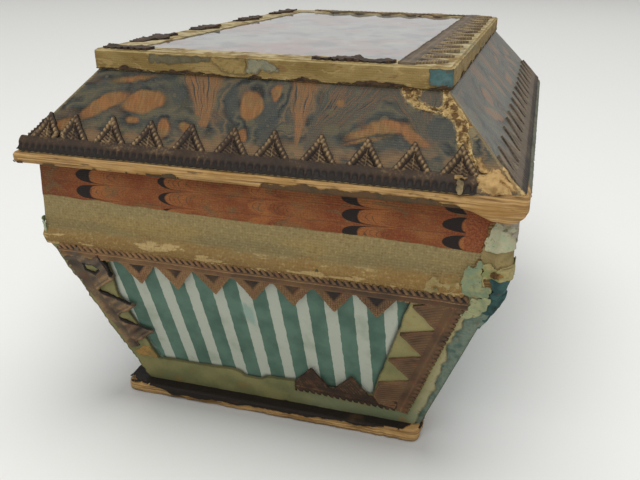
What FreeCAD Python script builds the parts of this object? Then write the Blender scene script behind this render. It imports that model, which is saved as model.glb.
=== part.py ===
"""Paper-covered wooden casket with a hipped, glazed lid on two small butt hinges.

X is the width, Y the depth with the front at minus Y, and Z is up.
The origin is the middle of the underside. All lengths are in millimetres.
"""
import FreeCAD
import Part
import math
import os

Vec = FreeCAD.Vector

# Lid
LID_WIDTH = 140.0
LID_DEPTH = 194.0
LID_BOARD = 3.0
LID_OVERHANG = 5.4
SLOPE_LEDGE = 1.3
SLOPE_RUN_SIDE = 21.2
SLOPE_RUN_END = 13.0
SLOPE_RISE = 22.2
SLOPE_BOARD = 3.0
PLATE_OVERHANG = 1.2
PLATE_BOARD = 3.2
PRINT_CARD = 0.4
GLASS_PANE = 1.5
BINDING_LAP = 10.0

# Body
UPPER_RISE = 22.3
UPPER_FLARE = 0.5
LOWER_RISE = 56.2
LOWER_FLARE = 19.3
WALL_BOARD = 4.0
BASE_BOARD = 4.0
BASE_PAST_SIDE = 3.6
BASE_PAST_END = 5.0
BASE_OFF_LEFT = 2.8
BASE_BARE_EDGE = 1.7

# Papers and card
PAPER = 0.3
FRAME_CARD = 0.8
CREAM_BAND_RISE = 10.8
BAND_TOP_GAP = 0.4
WINDOW_TOP_MARGIN = 6.4
WINDOW_BOTTOM_MARGIN = 11.2
WINDOW_SIDE_MARGIN = 15.5
SHEET_CLEARANCE = 0.1
BASE_PAPER_CLEARANCE = 0.3
LINING_CLEARANCE = 0.4

# Pressed paper trim
TRIM_SHEET = 0.5
TRIM_BAND = 4.6
TOOTH_RISE = 7.2
TOOTH_WIDTH = 10.2
TOOTH_PITCH = 11.8
TRIM_TOP_MARGIN = 2.4
TRIM_BOTTOM_MARGIN = 6.2
TRIM_SIDE_MARGIN = 5.2
TRIM_BUTT_GAP = 0.2
LID_TRIM_FOOT = 0.3
LID_TRIM_END_GAP = 0.6
PLATE_TRIM_EDGE = 0.4
LEFT_TRIM_LOSS = 17.0
BOTTOM_TRIM_LEFT = 35.0
PLATE_SCRAP = 21.0
PLATE_SCRAP_BAND = 3.2
PLATE_SCRAP_PITCH = 38.0
PLATE_SCRAP_COUNT = 4

# Hinges
HINGE_END_INSET = 26.6
LEAF_LENGTH = 18.0
LEAF_WIDTH = 4.2
LEAF_SHEET = 0.5
LEAF_GAP = 0.05
KNUCKLE_RADIUS = 1.3
MIDDLE_KNUCKLE = 6.0
KNUCKLE_END_GAP = 0.1
BARREL_CLEARANCE = 0.2
AXIS_OUT = 0.8
AXIS_DROP = 0.6
PIN_RADIUS = 0.5
PIN_CLEARANCE = 0.05
PIN_HEAD_RADIUS = 0.95
PIN_HEAD = 0.5
NAIL_RADIUS = 0.45
NAIL_CLEARANCE = 0.05
NAIL_SPREAD = 12.6
NAIL_INSET = 2.7
WALL_NAIL = 6.5
LID_NAIL = 2.3
RECESS_CLEARANCE = 0.1

ENDS = {
    "front": ((-1, -1), (1, -1)),
    "right": ((1, -1), (1, 1)),
    "back": ((1, 1), (-1, 1)),
    "left": ((-1, 1), (-1, -1)),
}


def inset(half, across, along=None):
    """Half sizes of a rectangle drawn in by a margin, or by one margin in X and one in Y."""
    along = across if along is None else along
    return (half[0] - across, half[1] - along)


def level_thickness(thickness, run, rise):
    """Horizontal thickness of a board that leans by run over rise."""
    return thickness * math.hypot(run, rise) / rise


# Heights
BASE_TOP = BASE_BOARD
WAIST_Z = BASE_TOP + LOWER_RISE
SEAM_Z = WAIST_Z + UPPER_RISE
LID_TOP_Z = SEAM_Z + LID_BOARD
HEAD_Z = LID_TOP_Z + SLOPE_RISE
PRINT_Z = HEAD_Z + PLATE_BOARD
GLASS_Z = PRINT_Z + PRINT_CARD
PLATE_Z = GLASS_Z + GLASS_PANE

# Half sizes of the main outlines
LID_HALF = (LID_WIDTH / 2, LID_DEPTH / 2)
RIM_HALF = inset(LID_HALF, LID_OVERHANG)
WAIST_HALF = inset(RIM_HALF, -UPPER_FLARE)
FOOT_HALF = inset(WAIST_HALF, LOWER_FLARE)
BASE_HALF = inset(FOOT_HALF, -BASE_PAST_SIDE, -BASE_PAST_END)
SLOPE_FOOT = inset(LID_HALF, SLOPE_LEDGE)
SLOPE_HEAD = inset(SLOPE_FOOT, SLOPE_RUN_SIDE, SLOPE_RUN_END)
BINDING_HALF = inset(SLOPE_HEAD, -PLATE_OVERHANG)
PLATE_HALF = inset(BINDING_HALF, PAPER)

# Horizontal thicknesses of the leaning boards, cards and papers
LOWER_WALL = level_thickness(WALL_BOARD, LOWER_FLARE, LOWER_RISE)
UPPER_WALL = level_thickness(WALL_BOARD, UPPER_FLARE, UPPER_RISE)
LOWER_PAPER = level_thickness(PAPER, LOWER_FLARE, LOWER_RISE)
LOWER_CARD = level_thickness(FRAME_CARD, LOWER_FLARE, LOWER_RISE)
UPPER_PAPER = level_thickness(PAPER, UPPER_FLARE, UPPER_RISE)
SIDE_SLOPE = level_thickness(SLOPE_BOARD, SLOPE_RUN_SIDE, SLOPE_RISE)
END_SLOPE = level_thickness(SLOPE_BOARD, SLOPE_RUN_END, SLOPE_RISE)
SIDE_SKIN = level_thickness(PAPER, SLOPE_RUN_SIDE, SLOPE_RISE)
END_SKIN = level_thickness(PAPER, SLOPE_RUN_END, SLOPE_RISE)

# Hinge axis, on the back wall just under the seam
AXIS_Y = RIM_HALF[1] + AXIS_OUT
AXIS_Z = SEAM_Z - AXIS_DROP
HINGE_X = RIM_HALF[0] - HINGE_END_INSET
HINGE_PLACES = {"left": -HINGE_X, "right": HINGE_X}


def edge(side, half, z):
    """The two ends of one side of a rectangle at height z, seen from outside left to right."""
    return [Vec(sx * half[0], sy * half[1], z) for sx, sy in ENDS[side]]


def hexahedron(low, high):
    """Solid between two four-cornered outlines that list their corners in the same order."""
    quads = [low, high]
    for i in range(4):
        j = (i + 1) % 4
        quads.append([low[i], low[j], high[j], high[i]])
    faces = [Part.Face(Part.makePolygon(quad + quad[:1])) for quad in quads]
    shell = Part.makeShell(faces)
    shell.sewShape()
    solid = Part.makeSolid(shell)
    if solid.Volume < 0:
        solid.reverse()
    return solid


def mitred_board(side, outside, inside):
    """One side of a tapered box between an outer and an inner (low, high) pair of levels."""
    outer = [edge(side, *level) for level in outside]
    inner = [edge(side, *level) for level in inside]
    low, high = [[out[0], out[1], inn[1], inn[0]] for out, inn in zip(outer, inner)]
    return hexahedron(low, high)


def block(half, z_low, z_high):
    """Upright block centred on the Z axis."""
    size = (2 * half[0], 2 * half[1], z_high - z_low)
    return Part.makeBox(*size, Vec(-half[0], -half[1], z_low))


def tapered(half_low, z_low, half_high, z_high):
    """Solid tapered block centred on the Z axis."""
    rings = []
    for half, z in ((half_low, z_low), (half_high, z_high)):
        rings.append([Vec(sx * half[0], sy * half[1], z) for (sx, sy), _ in ENDS.values()])
    return hexahedron(*rings)


def wall_level(half_low, half_high, z_low, z_high, z):
    """Half sizes of a tapered wall at height z."""
    share = (z - z_low) / (z_high - z_low)
    return tuple(low + (high - low) * share for low, high in zip(half_low, half_high))


class Face:
    """Flat frame on one leaning side: u runs along the foot, v up the slope, n outwards."""

    def __init__(self, side, half_low, z_low, half_high, z_high):
        low = edge(side, half_low, z_low)
        high = edge(side, half_high, z_high)
        self.origin = (low[0] + low[1]) * 0.5
        self.u = (low[1] - low[0]).normalize()
        rise = (high[0] + high[1]) * 0.5 - self.origin
        self.height = rise.Length
        self.v = rise.normalize()
        self.n = self.u.cross(self.v)
        self.foot = (low[1] - low[0]).Length / 2
        self.head = (high[1] - high[0]).Length / 2

    def half_at(self, v):
        """Half the side's length at height v."""
        return self.foot + (self.head - self.foot) * v / self.height

    def sheet(self, outline, lift, thickness):
        """Flat sheet with a (u, v) outline, lifted off the face."""
        points = [self.origin + self.u * u + self.v * v + self.n * lift for u, v in outline]
        return Part.Face(Part.makePolygon(points + points[:1])).extrude(self.n * thickness)


def strip(length, teeth, shift=0.0):
    """Outline of a trim strip: its straight edge on t = 0, its teeth towards plus t."""
    outline = [(-length / 2, 0), (length / 2, 0), (length / 2, TRIM_BAND)]
    for i in reversed(range(teeth)):
        centre = shift + (i - (teeth - 1) / 2) * TOOTH_PITCH
        outline.append((centre + TOOTH_WIDTH / 2, TRIM_BAND))
        outline.append((centre, TRIM_BAND + TOOTH_RISE))
        outline.append((centre - TOOTH_WIDTH / 2, TRIM_BAND))
    outline.append((-length / 2, TRIM_BAND))
    return outline


def placed(outline, origin, along):
    """Outline turned so that s follows the direction along and moved to the origin."""
    size = math.hypot(*along)
    c, s = along[0] / size, along[1] / size
    return [(origin[0] + c * p - s * t, origin[1] + s * p + c * t) for p, t in outline]


def teeth_in(length):
    """How many whole teeth fit along a length."""
    return max(1, int((length - TOOTH_WIDTH) // TOOTH_PITCH) + 1)


def base_parts():
    """Base board, fixed a little to the left of the walls, with its paper and the floor lining."""
    off_left = Vec(-BASE_OFF_LEFT, 0, 0)
    board = block(BASE_HALF, 0, BASE_TOP).translated(off_left)
    cover = block(inset(BASE_HALF, -PAPER), BASE_BARE_EDGE, BASE_TOP + PAPER).translated(off_left)
    foot = inset(FOOT_HALF, -LOWER_PAPER - BASE_PAPER_CLEARANCE, -LOWER_CARD - BASE_PAPER_CLEARANCE)
    cover = cover.cut(board).cut(block(foot, BASE_TOP, BASE_TOP + PAPER))
    floor = block(inset(FOOT_HALF, LOWER_WALL + LINING_CLEARANCE), BASE_TOP, BASE_TOP + PAPER)
    return {"base_board": board, "base_paper": cover, "floor_lining": floor}


def lower_walls():
    outside = ((FOOT_HALF, BASE_TOP), (WAIST_HALF, WAIST_Z))
    inside = tuple((inset(half, LOWER_WALL), z) for half, z in outside)
    return {f"lower_wall_{side}": mitred_board(side, outside, inside) for side in ENDS}


def upper_walls():
    outside = ((WAIST_HALF, WAIST_Z), (RIM_HALF, SEAM_Z))
    inside = tuple((inset(half, UPPER_WALL), z) for half, z in outside)
    walls = {f"upper_wall_{side}": mitred_board(side, outside, inside) for side in ENDS}
    for x in HINGE_PLACES.values():
        walls["upper_wall_back"] = walls["upper_wall_back"].cut(wall_recess(x))
    return walls


def lower_face(side):
    return Face(side, FOOT_HALF, BASE_TOP, WAIST_HALF, WAIST_Z)


def window(face, clearance):
    """Outline of the window in a front or back card, drawn in by a clearance."""
    low = WINDOW_BOTTOM_MARGIN + clearance
    high = face.height - WINDOW_TOP_MARGIN - clearance
    foot = face.half_at(low) - WINDOW_SIDE_MARGIN - clearance
    head = face.half_at(high) - WINDOW_SIDE_MARGIN - clearance
    return [(-foot, low), (foot, low), (head, high), (-head, high)]


def lower_covers():
    """Card frames with striped panels on the two ends, plain papers on the two sides."""
    covered = [inset(half, -LOWER_PAPER, -LOWER_CARD) for half in (FOOT_HALF, WAIST_HALF)]
    outside = ((covered[0], BASE_TOP), (covered[1], WAIST_Z))
    inside = ((FOOT_HALF, BASE_TOP), (WAIST_HALF, WAIST_Z))
    parts = {}
    for side in ("front", "back"):
        face = lower_face(side)
        card = mitred_board(side, outside, inside)
        parts[f"card_frame_{side}"] = card.cut(face.sheet(window(face, 0), 0, 2 * FRAME_CARD))
        parts[f"striped_panel_{side}"] = face.sheet(window(face, SHEET_CLEARANCE), 0, PAPER)
    for side in ("left", "right"):
        parts[f"side_paper_{side}"] = mitred_board(side, outside, inside)
    return parts


def band(z_low, z_high):
    """Paper band wrapped once around the upper walls."""
    halves = [wall_level(WAIST_HALF, RIM_HALF, WAIST_Z, SEAM_Z, z) for z in (z_low, z_high)]
    outer = [inset(half, -UPPER_PAPER) for half in halves]
    skin = tapered(outer[0], z_low, outer[1], z_high)
    return skin.cut(tapered(halves[0], z_low, halves[1], z_high))


def upper_bands():
    middle = WAIST_Z + CREAM_BAND_RISE
    marbled = band(middle, SEAM_Z - BAND_TOP_GAP)
    for x in HINGE_PLACES.values():
        marbled = marbled.cut(barrel_room(x))
    return {"cream_band": band(WAIST_Z, middle), "red_marbled_band": marbled}


def wall_linings():
    """Lining papers on the inner faces of the lower and the upper walls."""
    floor_top = BASE_TOP + PAPER
    inner = [inset(half, LOWER_WALL) for half in (FOOT_HALF, WAIST_HALF)]
    low = wall_level(inner[0], inner[1], BASE_TOP, WAIST_Z, floor_top)
    lower = tapered(low, floor_top, inner[1], WAIST_Z)
    lower = lower.cut(tapered(inset(low, LOWER_PAPER), floor_top, inset(inner[1], LOWER_PAPER), WAIST_Z))
    waist, rim = [inset(half, UPPER_WALL) for half in (WAIST_HALF, RIM_HALF)]
    upper = tapered(waist, WAIST_Z, rim, SEAM_Z - BAND_TOP_GAP)
    upper = upper.cut(tapered(inset(waist, PAPER), WAIST_Z, inset(rim, PAPER), SEAM_Z - BAND_TOP_GAP))
    return {"lower_lining": lower, "upper_lining": upper}


def side_strip(face, hand, v_low, v_high):
    """Trim strip along one leaning edge, cut level at its two ends."""
    lean = (hand * (face.head - face.foot), face.height)
    slant = math.hypot(*lean) / face.height
    middle = (v_low + v_high) / 2
    origin = (hand * (face.half_at(middle) - TRIM_SIDE_MARGIN * slant), middle)
    length = face.height * slant
    along = lean if hand > 0 else (-lean[0], -lean[1])
    outline = placed(strip(length, teeth_in(length)), origin, along)
    reach = face.head + TRIM_BAND
    slab = [(-reach, v_low), (reach, v_low), (reach, v_high), (-reach, v_high)]
    sheet = face.sheet(outline, FRAME_CARD, TRIM_SHEET)
    return sheet.common(face.sheet(slab, FRAME_CARD, TRIM_SHEET))


def frame_trims(side, worn):
    """The four trim strips around one striped panel; the worn set has lost two stretches."""
    face = lower_face(side)
    slant = math.hypot(face.head - face.foot, face.height) / face.height
    top = face.height - TRIM_TOP_MARGIN
    bottom = TRIM_BOTTOM_MARGIN
    side_low = bottom + TRIM_BAND + TRIM_BUTT_GAP
    side_high = top - TRIM_BAND - TRIM_BUTT_GAP
    head = 2 * (face.half_at(side_high) - TRIM_SIDE_MARGIN * slant)
    corner = (TRIM_BAND + TOOTH_RISE) * slant
    parts = {}
    outline = placed(strip(head, teeth_in(head - 2 * corner)), (0, top), (-1, 0))
    parts["top"] = face.sheet(outline, FRAME_CARD, TRIM_SHEET)
    foot = 2 * (face.half_at(bottom) - TRIM_SIDE_MARGIN * slant)
    outline = strip(foot, teeth_in(foot - 2 * corner))
    if worn:
        outline = strip(BOTTOM_TRIM_LEFT, teeth_in(BOTTOM_TRIM_LEFT - corner), -corner / 2)
    middle = (foot / 2 - outline[1][0], bottom)
    parts["bottom"] = face.sheet(placed(outline, middle, (1, 0)), FRAME_CARD, TRIM_SHEET)
    parts["right"] = side_strip(face, 1, side_low, side_high)
    parts["left"] = side_strip(face, -1, LEFT_TRIM_LOSS if worn else side_low, side_high)
    return {f"{side}_trim_{place}": shape for place, shape in parts.items()}


def axis_cylinder(x_low, x_high, radius):
    """Cylinder on the hinge axis between two places along X."""
    return Part.makeCylinder(radius, x_high - x_low, Vec(x_low, AXIS_Y, AXIS_Z), Vec(1, 0, 0))


def barrel_room(x):
    """Space around a hinge barrel, its pin heads included."""
    reach = LEAF_LENGTH / 2 + PIN_HEAD + BARREL_CLEARANCE
    return axis_cylinder(x - reach, x + reach, KNUCKLE_RADIUS + BARREL_CLEARANCE)


def leaf_plate(x, z_low, margin=0.0):
    """Flat plate of a leaf, or the recess for it, reaching back to the hinge axis."""
    length = LEAF_LENGTH + 2 * margin
    corner = Vec(x - length / 2, AXIS_Y - LEAF_WIDTH - margin, z_low)
    return Part.makeBox(length, LEAF_WIDTH + margin, LEAF_SHEET, corner)


def nail_places(x):
    return [(x + sign * NAIL_SPREAD / 2, AXIS_Y - NAIL_INSET) for sign in (-1, 1)]


def nail_rods(x, z_low, z_high, radius):
    rods = [Part.makeCylinder(radius, z_high - z_low, Vec(px, py, z_low)) for px, py in nail_places(x)]
    return Part.makeCompound(rods)


WALL_LEAF_Z = SEAM_Z - LEAF_GAP - LEAF_SHEET
LID_LEAF_Z = SEAM_Z + LEAF_GAP
WALL_NAIL_TOP = WALL_LEAF_Z + LEAF_SHEET
LID_NAIL_FOOT = LID_LEAF_Z


def wall_recess(x):
    """What a hinge takes out of the back wall's top edge."""
    seat = leaf_plate(x, WALL_LEAF_Z, RECESS_CLEARANCE)
    seat = seat.fuse(leaf_plate(x, WALL_LEAF_Z + LEAF_GAP, RECESS_CLEARANCE))
    holes = nail_rods(x, WALL_NAIL_TOP - WALL_NAIL, WALL_NAIL_TOP, NAIL_RADIUS + NAIL_CLEARANCE)
    return seat.fuse(barrel_room(x)).fuse(holes)


def lid_recess(x):
    """What a hinge takes out of the lid board's underside."""
    seat = leaf_plate(x, LID_LEAF_Z, RECESS_CLEARANCE)
    seat = seat.fuse(leaf_plate(x, LID_LEAF_Z - LEAF_GAP, RECESS_CLEARANCE))
    holes = nail_rods(x, LID_NAIL_FOOT, LID_NAIL_FOOT + LID_NAIL, NAIL_RADIUS + NAIL_CLEARANCE)
    return seat.fuse(barrel_room(x)).fuse(holes)


def hinge_leaf(x, z_low, own, other):
    """Leaf with its own knuckles, cleared around the other leaf's, bored for the pin."""
    leaf = leaf_plate(x, z_low)
    for low, high in other:
        room = axis_cylinder(x + low - KNUCKLE_END_GAP, x + high + KNUCKLE_END_GAP,
                             KNUCKLE_RADIUS + BARREL_CLEARANCE)
        leaf = leaf.cut(room)
    for low, high in own:
        leaf = leaf.fuse(axis_cylinder(x + low, x + high, KNUCKLE_RADIUS))
    bore = axis_cylinder(x - LEAF_LENGTH, x + LEAF_LENGTH, PIN_RADIUS + PIN_CLEARANCE)
    holes = nail_rods(x, z_low, z_low + LEAF_SHEET, NAIL_RADIUS + NAIL_CLEARANCE)
    return leaf.cut(bore).cut(holes).removeSplitter()


def hinge_pin(x):
    end = LEAF_LENGTH / 2
    pin = axis_cylinder(x - end, x + end, PIN_RADIUS)
    pin = pin.fuse(axis_cylinder(x - end - PIN_HEAD, x - end, PIN_HEAD_RADIUS))
    pin = pin.fuse(axis_cylinder(x + end, x + end + PIN_HEAD, PIN_HEAD_RADIUS))
    return pin.removeSplitter()


def hinges():
    """Two butt hinges, and the nails that hold each kind of leaf."""
    end = LEAF_LENGTH / 2
    middle = MIDDLE_KNUCKLE / 2
    outer = [(-end, -middle - KNUCKLE_END_GAP), (middle + KNUCKLE_END_GAP, end)]
    inner = [(-middle, middle)]
    parts = {}
    wall_nails = []
    lid_nails = []
    for hand, x in HINGE_PLACES.items():
        parts[f"hinge_wall_leaf_{hand}"] = hinge_leaf(x, WALL_LEAF_Z, outer, inner)
        parts[f"hinge_lid_leaf_{hand}"] = hinge_leaf(x, LID_LEAF_Z, inner, outer)
        parts[f"hinge_pin_{hand}"] = hinge_pin(x)
        wall_nails += nail_rods(x, WALL_NAIL_TOP - WALL_NAIL, WALL_NAIL_TOP, NAIL_RADIUS).Solids
        lid_nails += nail_rods(x, LID_NAIL_FOOT, LID_NAIL_FOOT + LID_NAIL, NAIL_RADIUS).Solids
    parts["hinge_wall_nails"] = Part.makeCompound(wall_nails)
    parts["hinge_lid_nails"] = Part.makeCompound(lid_nails)
    return parts


def lid_base():
    board = block(LID_HALF, SEAM_Z, LID_TOP_Z)
    for x in HINGE_PLACES.values():
        board = board.cut(lid_recess(x))
    lining = block(inset(RIM_HALF, UPPER_WALL + PAPER + LINING_CLEARANCE), SEAM_Z - PAPER, SEAM_Z)
    return {"lid_board": board, "lid_lining": lining}


def lid_slopes():
    outside = ((SLOPE_FOOT, LID_TOP_Z), (SLOPE_HEAD, HEAD_Z))
    inside = tuple((inset(half, SIDE_SLOPE, END_SLOPE), z) for half, z in outside)
    return {f"lid_slope_{side}": mitred_board(side, outside, inside) for side in ENDS}


def slope_covers():
    """Marbled papers on the four slopes."""
    inside = ((SLOPE_FOOT, LID_TOP_Z), (SLOPE_HEAD, HEAD_Z))
    outside = tuple((inset(half, -SIDE_SKIN, -END_SKIN), z) for half, z in inside)
    return {f"marbled_paper_{side}": mitred_board(side, outside, inside) for side in ENDS}


def lid_trims():
    """One trim strip along the foot of each slope, teeth upwards."""
    parts = {}
    for side in ENDS:
        face = Face(side, SLOPE_FOOT, LID_TOP_Z, SLOPE_HEAD, HEAD_Z)
        valley = LID_TRIM_FOOT + TRIM_BAND
        length = 2 * (face.half_at(valley) - LID_TRIM_END_GAP)
        tips = 2 * (face.half_at(valley + TOOTH_RISE) - LID_TRIM_END_GAP)
        teeth = min(teeth_in(length), teeth_in(tips + TOOTH_WIDTH))
        outline = placed(strip(length, teeth), (0, LID_TRIM_FOOT), (1, 0))
        parts[f"lid_trim_{side}"] = face.sheet(outline, PAPER, TRIM_SHEET)
    return parts


def top_plate():
    """Top board, print and glass, held together by a paper binding lapped over the glass."""
    board = block(PLATE_HALF, HEAD_Z, PRINT_Z)
    print_card = block(PLATE_HALF, PRINT_Z, GLASS_Z)
    glass = block(PLATE_HALF, GLASS_Z, PLATE_Z)
    binding = block(BINDING_HALF, HEAD_Z, PLATE_Z + PAPER).cut(block(PLATE_HALF, HEAD_Z, PLATE_Z))
    binding = binding.cut(block(inset(BINDING_HALF, BINDING_LAP), PLATE_Z, PLATE_Z + PAPER))
    return {"lid_top_board": board, "print_card": print_card, "glass_pane": glass,
            "edge_binding": binding}


def plate_trims():
    """Trim left on the top: whole strips at the right and back, scraps at the left and front."""
    top = PLATE_Z + PAPER
    flat = inset(BINDING_HALF, PLATE_TRIM_EDGE)
    width = TRIM_BAND + TOOTH_RISE
    parts = {}
    for side in ENDS:
        low = edge(side, flat, top)
        length = (low[1] - low[0]).Length
        along = (low[1] - low[0]).normalize()
        across = Vec(0, 0, 1).cross(along)
        if side in ("front", "back"):
            length -= 2 * (width + TRIM_BUTT_GAP)
        middle = (low[0] + low[1]) * 0.5
        if side in ("right", "back"):
            outlines = [strip(length, teeth_in(length - 2 * width))]
        else:
            outlines = scraps(length)
        sheets = []
        for outline in outlines:
            points = [middle + along * s + across * t for s, t in outline]
            face = Part.Face(Part.makePolygon(points + points[:1]))
            sheets.append(face.extrude(Vec(0, 0, TRIM_SHEET)))
        parts[f"top_trim_{side}"] = sheets[0] if len(sheets) == 1 else Part.makeCompound(sheets)
    return parts


def scraps(length):
    """Short pieces of band left along an edge, as many as the edge has room for."""
    count = max(2, min(PLATE_SCRAP_COUNT, int(length // PLATE_SCRAP_PITCH)))
    half = PLATE_SCRAP / 2
    pieces = []
    for i in range(count):
        s = (i - (count - 1) / 2) * PLATE_SCRAP_PITCH
        pieces.append([(s - half, 0), (s + half, 0), (s + half, PLATE_SCRAP_BAND), (s - half, PLATE_SCRAP_BAND)])
    return pieces


def main():
    parts = {}
    parts.update(base_parts())
    parts.update(lower_walls())
    parts.update(upper_walls())
    parts.update(lower_covers())
    parts.update(upper_bands())
    parts.update(wall_linings())
    parts.update(frame_trims("front", worn=True))
    parts.update(frame_trims("back", worn=False))
    parts.update(hinges())
    parts.update(lid_base())
    parts.update(lid_slopes())
    parts.update(slope_covers())
    parts.update(lid_trims())
    parts.update(top_plate())
    parts.update(plate_trims())
    os.makedirs("parts", exist_ok=True)
    for name, shape in parts.items():
        shape.exportStep(f"parts/{name}.step")


main()
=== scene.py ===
"""Dress a paper-covered wooden casket: worn boards, marbled papers, pressed trim and a glazed lid."""
import math

import bmesh
import bpy
import numpy as np
from bpy.props import FloatProperty, FloatVectorProperty, PointerProperty
from mathutils import Matrix, Vector


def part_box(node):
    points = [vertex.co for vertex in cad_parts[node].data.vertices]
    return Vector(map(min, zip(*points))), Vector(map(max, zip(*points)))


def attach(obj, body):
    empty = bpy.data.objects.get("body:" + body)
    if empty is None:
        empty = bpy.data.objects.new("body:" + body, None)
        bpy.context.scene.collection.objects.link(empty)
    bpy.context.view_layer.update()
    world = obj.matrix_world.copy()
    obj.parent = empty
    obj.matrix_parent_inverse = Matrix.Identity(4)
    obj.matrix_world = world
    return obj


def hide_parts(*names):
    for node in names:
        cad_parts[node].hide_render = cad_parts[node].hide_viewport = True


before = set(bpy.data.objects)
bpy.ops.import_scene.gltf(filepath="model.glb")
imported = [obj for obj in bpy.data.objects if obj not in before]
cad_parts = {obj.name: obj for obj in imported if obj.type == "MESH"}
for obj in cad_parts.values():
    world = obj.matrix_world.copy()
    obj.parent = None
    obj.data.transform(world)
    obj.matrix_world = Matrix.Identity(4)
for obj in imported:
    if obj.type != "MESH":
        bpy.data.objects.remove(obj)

bl_info = {
    "name": "Paper-covered casket",
    "version": (1, 0, 0),
    "blender": (4, 5, 0),
    "location": "View3D > Sidebar > Casket",
    "description": "Dresses a wooden casket with worn papers, pressed trim and a glazed lid",
    "category": "Add Mesh",
}

MM = 0.001
# Angle of a hard edge, and the distance in metres at which points are welded
SHARP = math.radians(40.0)
WELD = 1e-7
# In millimetres: mesh steps of small torn papers, how far an outline passes its sheet, corners of the base
FINE, FINER, FINEST = 0.4, 0.3, 0.25
SEAM = 0.01
BASE_CORNER = 3.0
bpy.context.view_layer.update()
SIDES = {
    "front": ((-1, -1), (1, -1)),
    "right": ((1, -1), (1, 1)),
    "back": ((1, 1), (-1, 1)),
    "left": ((-1, 1), (-1, -1)),
}


def tint(red, green, blue):
    """Linear colour, with alpha, of a screen colour given in 0 to 255."""
    channels = [c / 255 for c in (red, green, blue)]
    return tuple(c / 12.92 if c <= 0.04045 else ((c + 0.055) / 1.055) ** 2.4 for c in channels) + (1.0,)


def length(name, description, millimetres):
    return FloatProperty(name=name, description=description, default=millimetres * MM, unit="LENGTH",
                         precision=5)


def angle(name, description, degrees):
    return FloatProperty(name=name, description=description, default=math.radians(degrees), subtype="ANGLE")


def amount(name, description, value, unit="NONE"):
    return FloatProperty(name=name, description=description, default=value, unit=unit)


def colour(name, description, *screen):
    return FloatVectorProperty(name=name, description=description, default=tint(*screen), size=4,
                               subtype="COLOR", min=0.0, max=1.0)


class CasketTrim(bpy.types.PropertyGroup):
    band: length("Band", "Width of the straight band of a trim strip", 4.5)
    rise: length("Tooth rise", "Height of a tooth above the band", 7.6)
    width: length("Tooth width", "Width of a tooth where it leaves the band", 10.8)
    pitch: length("Tooth pitch", "Distance from one tooth to the next", 11.7)
    bead: length("Bead pitch", "Distance between the beads along the straight edge", 1.95)
    twist: length("Rope pitch", "Distance between the turns of the pressed rope", 1.0)
    sheet: length("Sheet", "Thickness of the pressed sheet", 0.35)
    rope: length("Rope relief", "Height of the roped pattern above the sheet", 1.1)
    line: length("Line relief", "Height of the lined pattern above the sheet", 0.45)
    step: length("Step", "Mesh step of the pressed strips", 0.25)


class CasketPapers(bpy.types.PropertyGroup):
    paper: length("Paper", "Thickness of a covering paper", 0.3)
    card_low: length("Card underside", "Lift of the window card off the wall", 0.3)
    card: length("Card", "Thickness of the window card", 0.7)
    step: length("Step", "Mesh step of papers and cards", 0.8)
    corner: length("Corner", "Rounding of the upright corners of the walls", 0.55)
    cream_top: length("Cream band", "Height of the cream band above the waist", 10.9)
    fold: length("Fold", "How far the cream band is turned over the waist", 3.2)


class CasketColours(bpy.types.PropertyGroup):
    wood: colour("Wood", "Bare softwood", 182, 146, 94)
    wood_deep: colour("Wood grain", "Grain and dirt in the bare wood", 104, 76, 46)
    black: colour("Black paper", "Paper on the base board", 34, 29, 25)
    cream: colour("Cream", "Aged cream paper and card", 137, 118, 75)
    cream_grey: colour("Cream shade", "Greyish areas of the cream paper", 128, 115, 78)
    card: colour("Card", "Window card", 127, 122, 81)
    card_green: colour("Card shade", "Greenish areas of the window card", 100, 103, 70)
    ochre: colour("Ochre", "Worn folds and glue stains", 146, 108, 56)
    red: colour("Red", "Ground of the red marbled paper", 116, 60, 34)
    orange: colour("Orange", "Lighter clouds of the red marbled paper", 132, 82, 47)
    # Ink is also laid as painted shadow at the foot of the slope papers and as painted shade round the
    # windows
    ink: colour("Ink", "Dark blots of the marbled papers", 36, 37, 35)
    slate: colour("Slate", "Ground of the slate marbled paper", 61, 64, 60)
    olive: colour("Olive", "Strands of the slate marbled paper", 88, 82, 63)
    rust: colour("Rust", "Blots of the slate marbled paper", 136, 92, 54)
    green: colour("Green stripe", "Green stripes of the window paper", 86, 113, 98)
    white: colour("White stripe", "White stripes of the window paper", 166, 171, 157)
    teal: colour("Teal", "Paper on the sides of the body", 52, 82, 78)
    teal_grey: colour("Worn teal", "Rubbed paper along the edges of the sides", 108, 120, 106)
    mint: colour("Mint", "Under paper where the corner is torn", 112, 126, 100)
    torn: colour("Torn paper", "Fresh edge of torn paper", 178, 154, 106)
    # In the pressed trim deep bronze is oxide in the recesses and painted shade there as well
    bronze_deep: colour("Deep bronze", "Recesses of the pressed trim", 27, 21, 17)
    bronze: colour("Bronze", "Flat parts of the pressed trim", 60, 46, 35)
    gilt: colour("Gilt", "Rubbed heights of the pressed trim", 152, 122, 84)
    binding: colour("Binding", "Paper binding of the glass", 139, 118, 74)
    print_paper: colour("Print", "Faded print under the glass", 202, 200, 196)
    lining: colour("Lining", "Paper inside the box", 176, 164, 136)
    brass: colour("Brass", "Hinges", 150, 116, 60)
    floor: colour("Floor", "Table and background", 239, 239, 236)


class CasketStage(bpy.types.PropertyGroup):
    distance_x: length("Camera X", "Camera place across the box", 67.51)
    distance_y: length("Camera Y", "Camera place along the box", -262.83)
    distance_z: length("Camera Z", "Camera height", 137.83)
    azimuth: angle("Azimuth", "Turn of the view", 15.97)
    elevation: angle("Elevation", "Downward tilt of the view", 21.365)
    roll: angle("Roll", "Lean of the view", 0.903)
    lens: amount("Lens", "Focal length on a 36 mm sensor", 41.06, "CAMERA")
    sky: amount("Sky", "Strength of the light from all around", 0.46)
    backdrop: amount("Backdrop", "Brightness of the backdrop as it is seen", 0.6)
    panel: amount("Panel", "Power of the wide panel overhead", 30.0, "POWER")
    lamp: amount("Lamp", "Power of the soft lamp in front", 6.2, "POWER")


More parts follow.
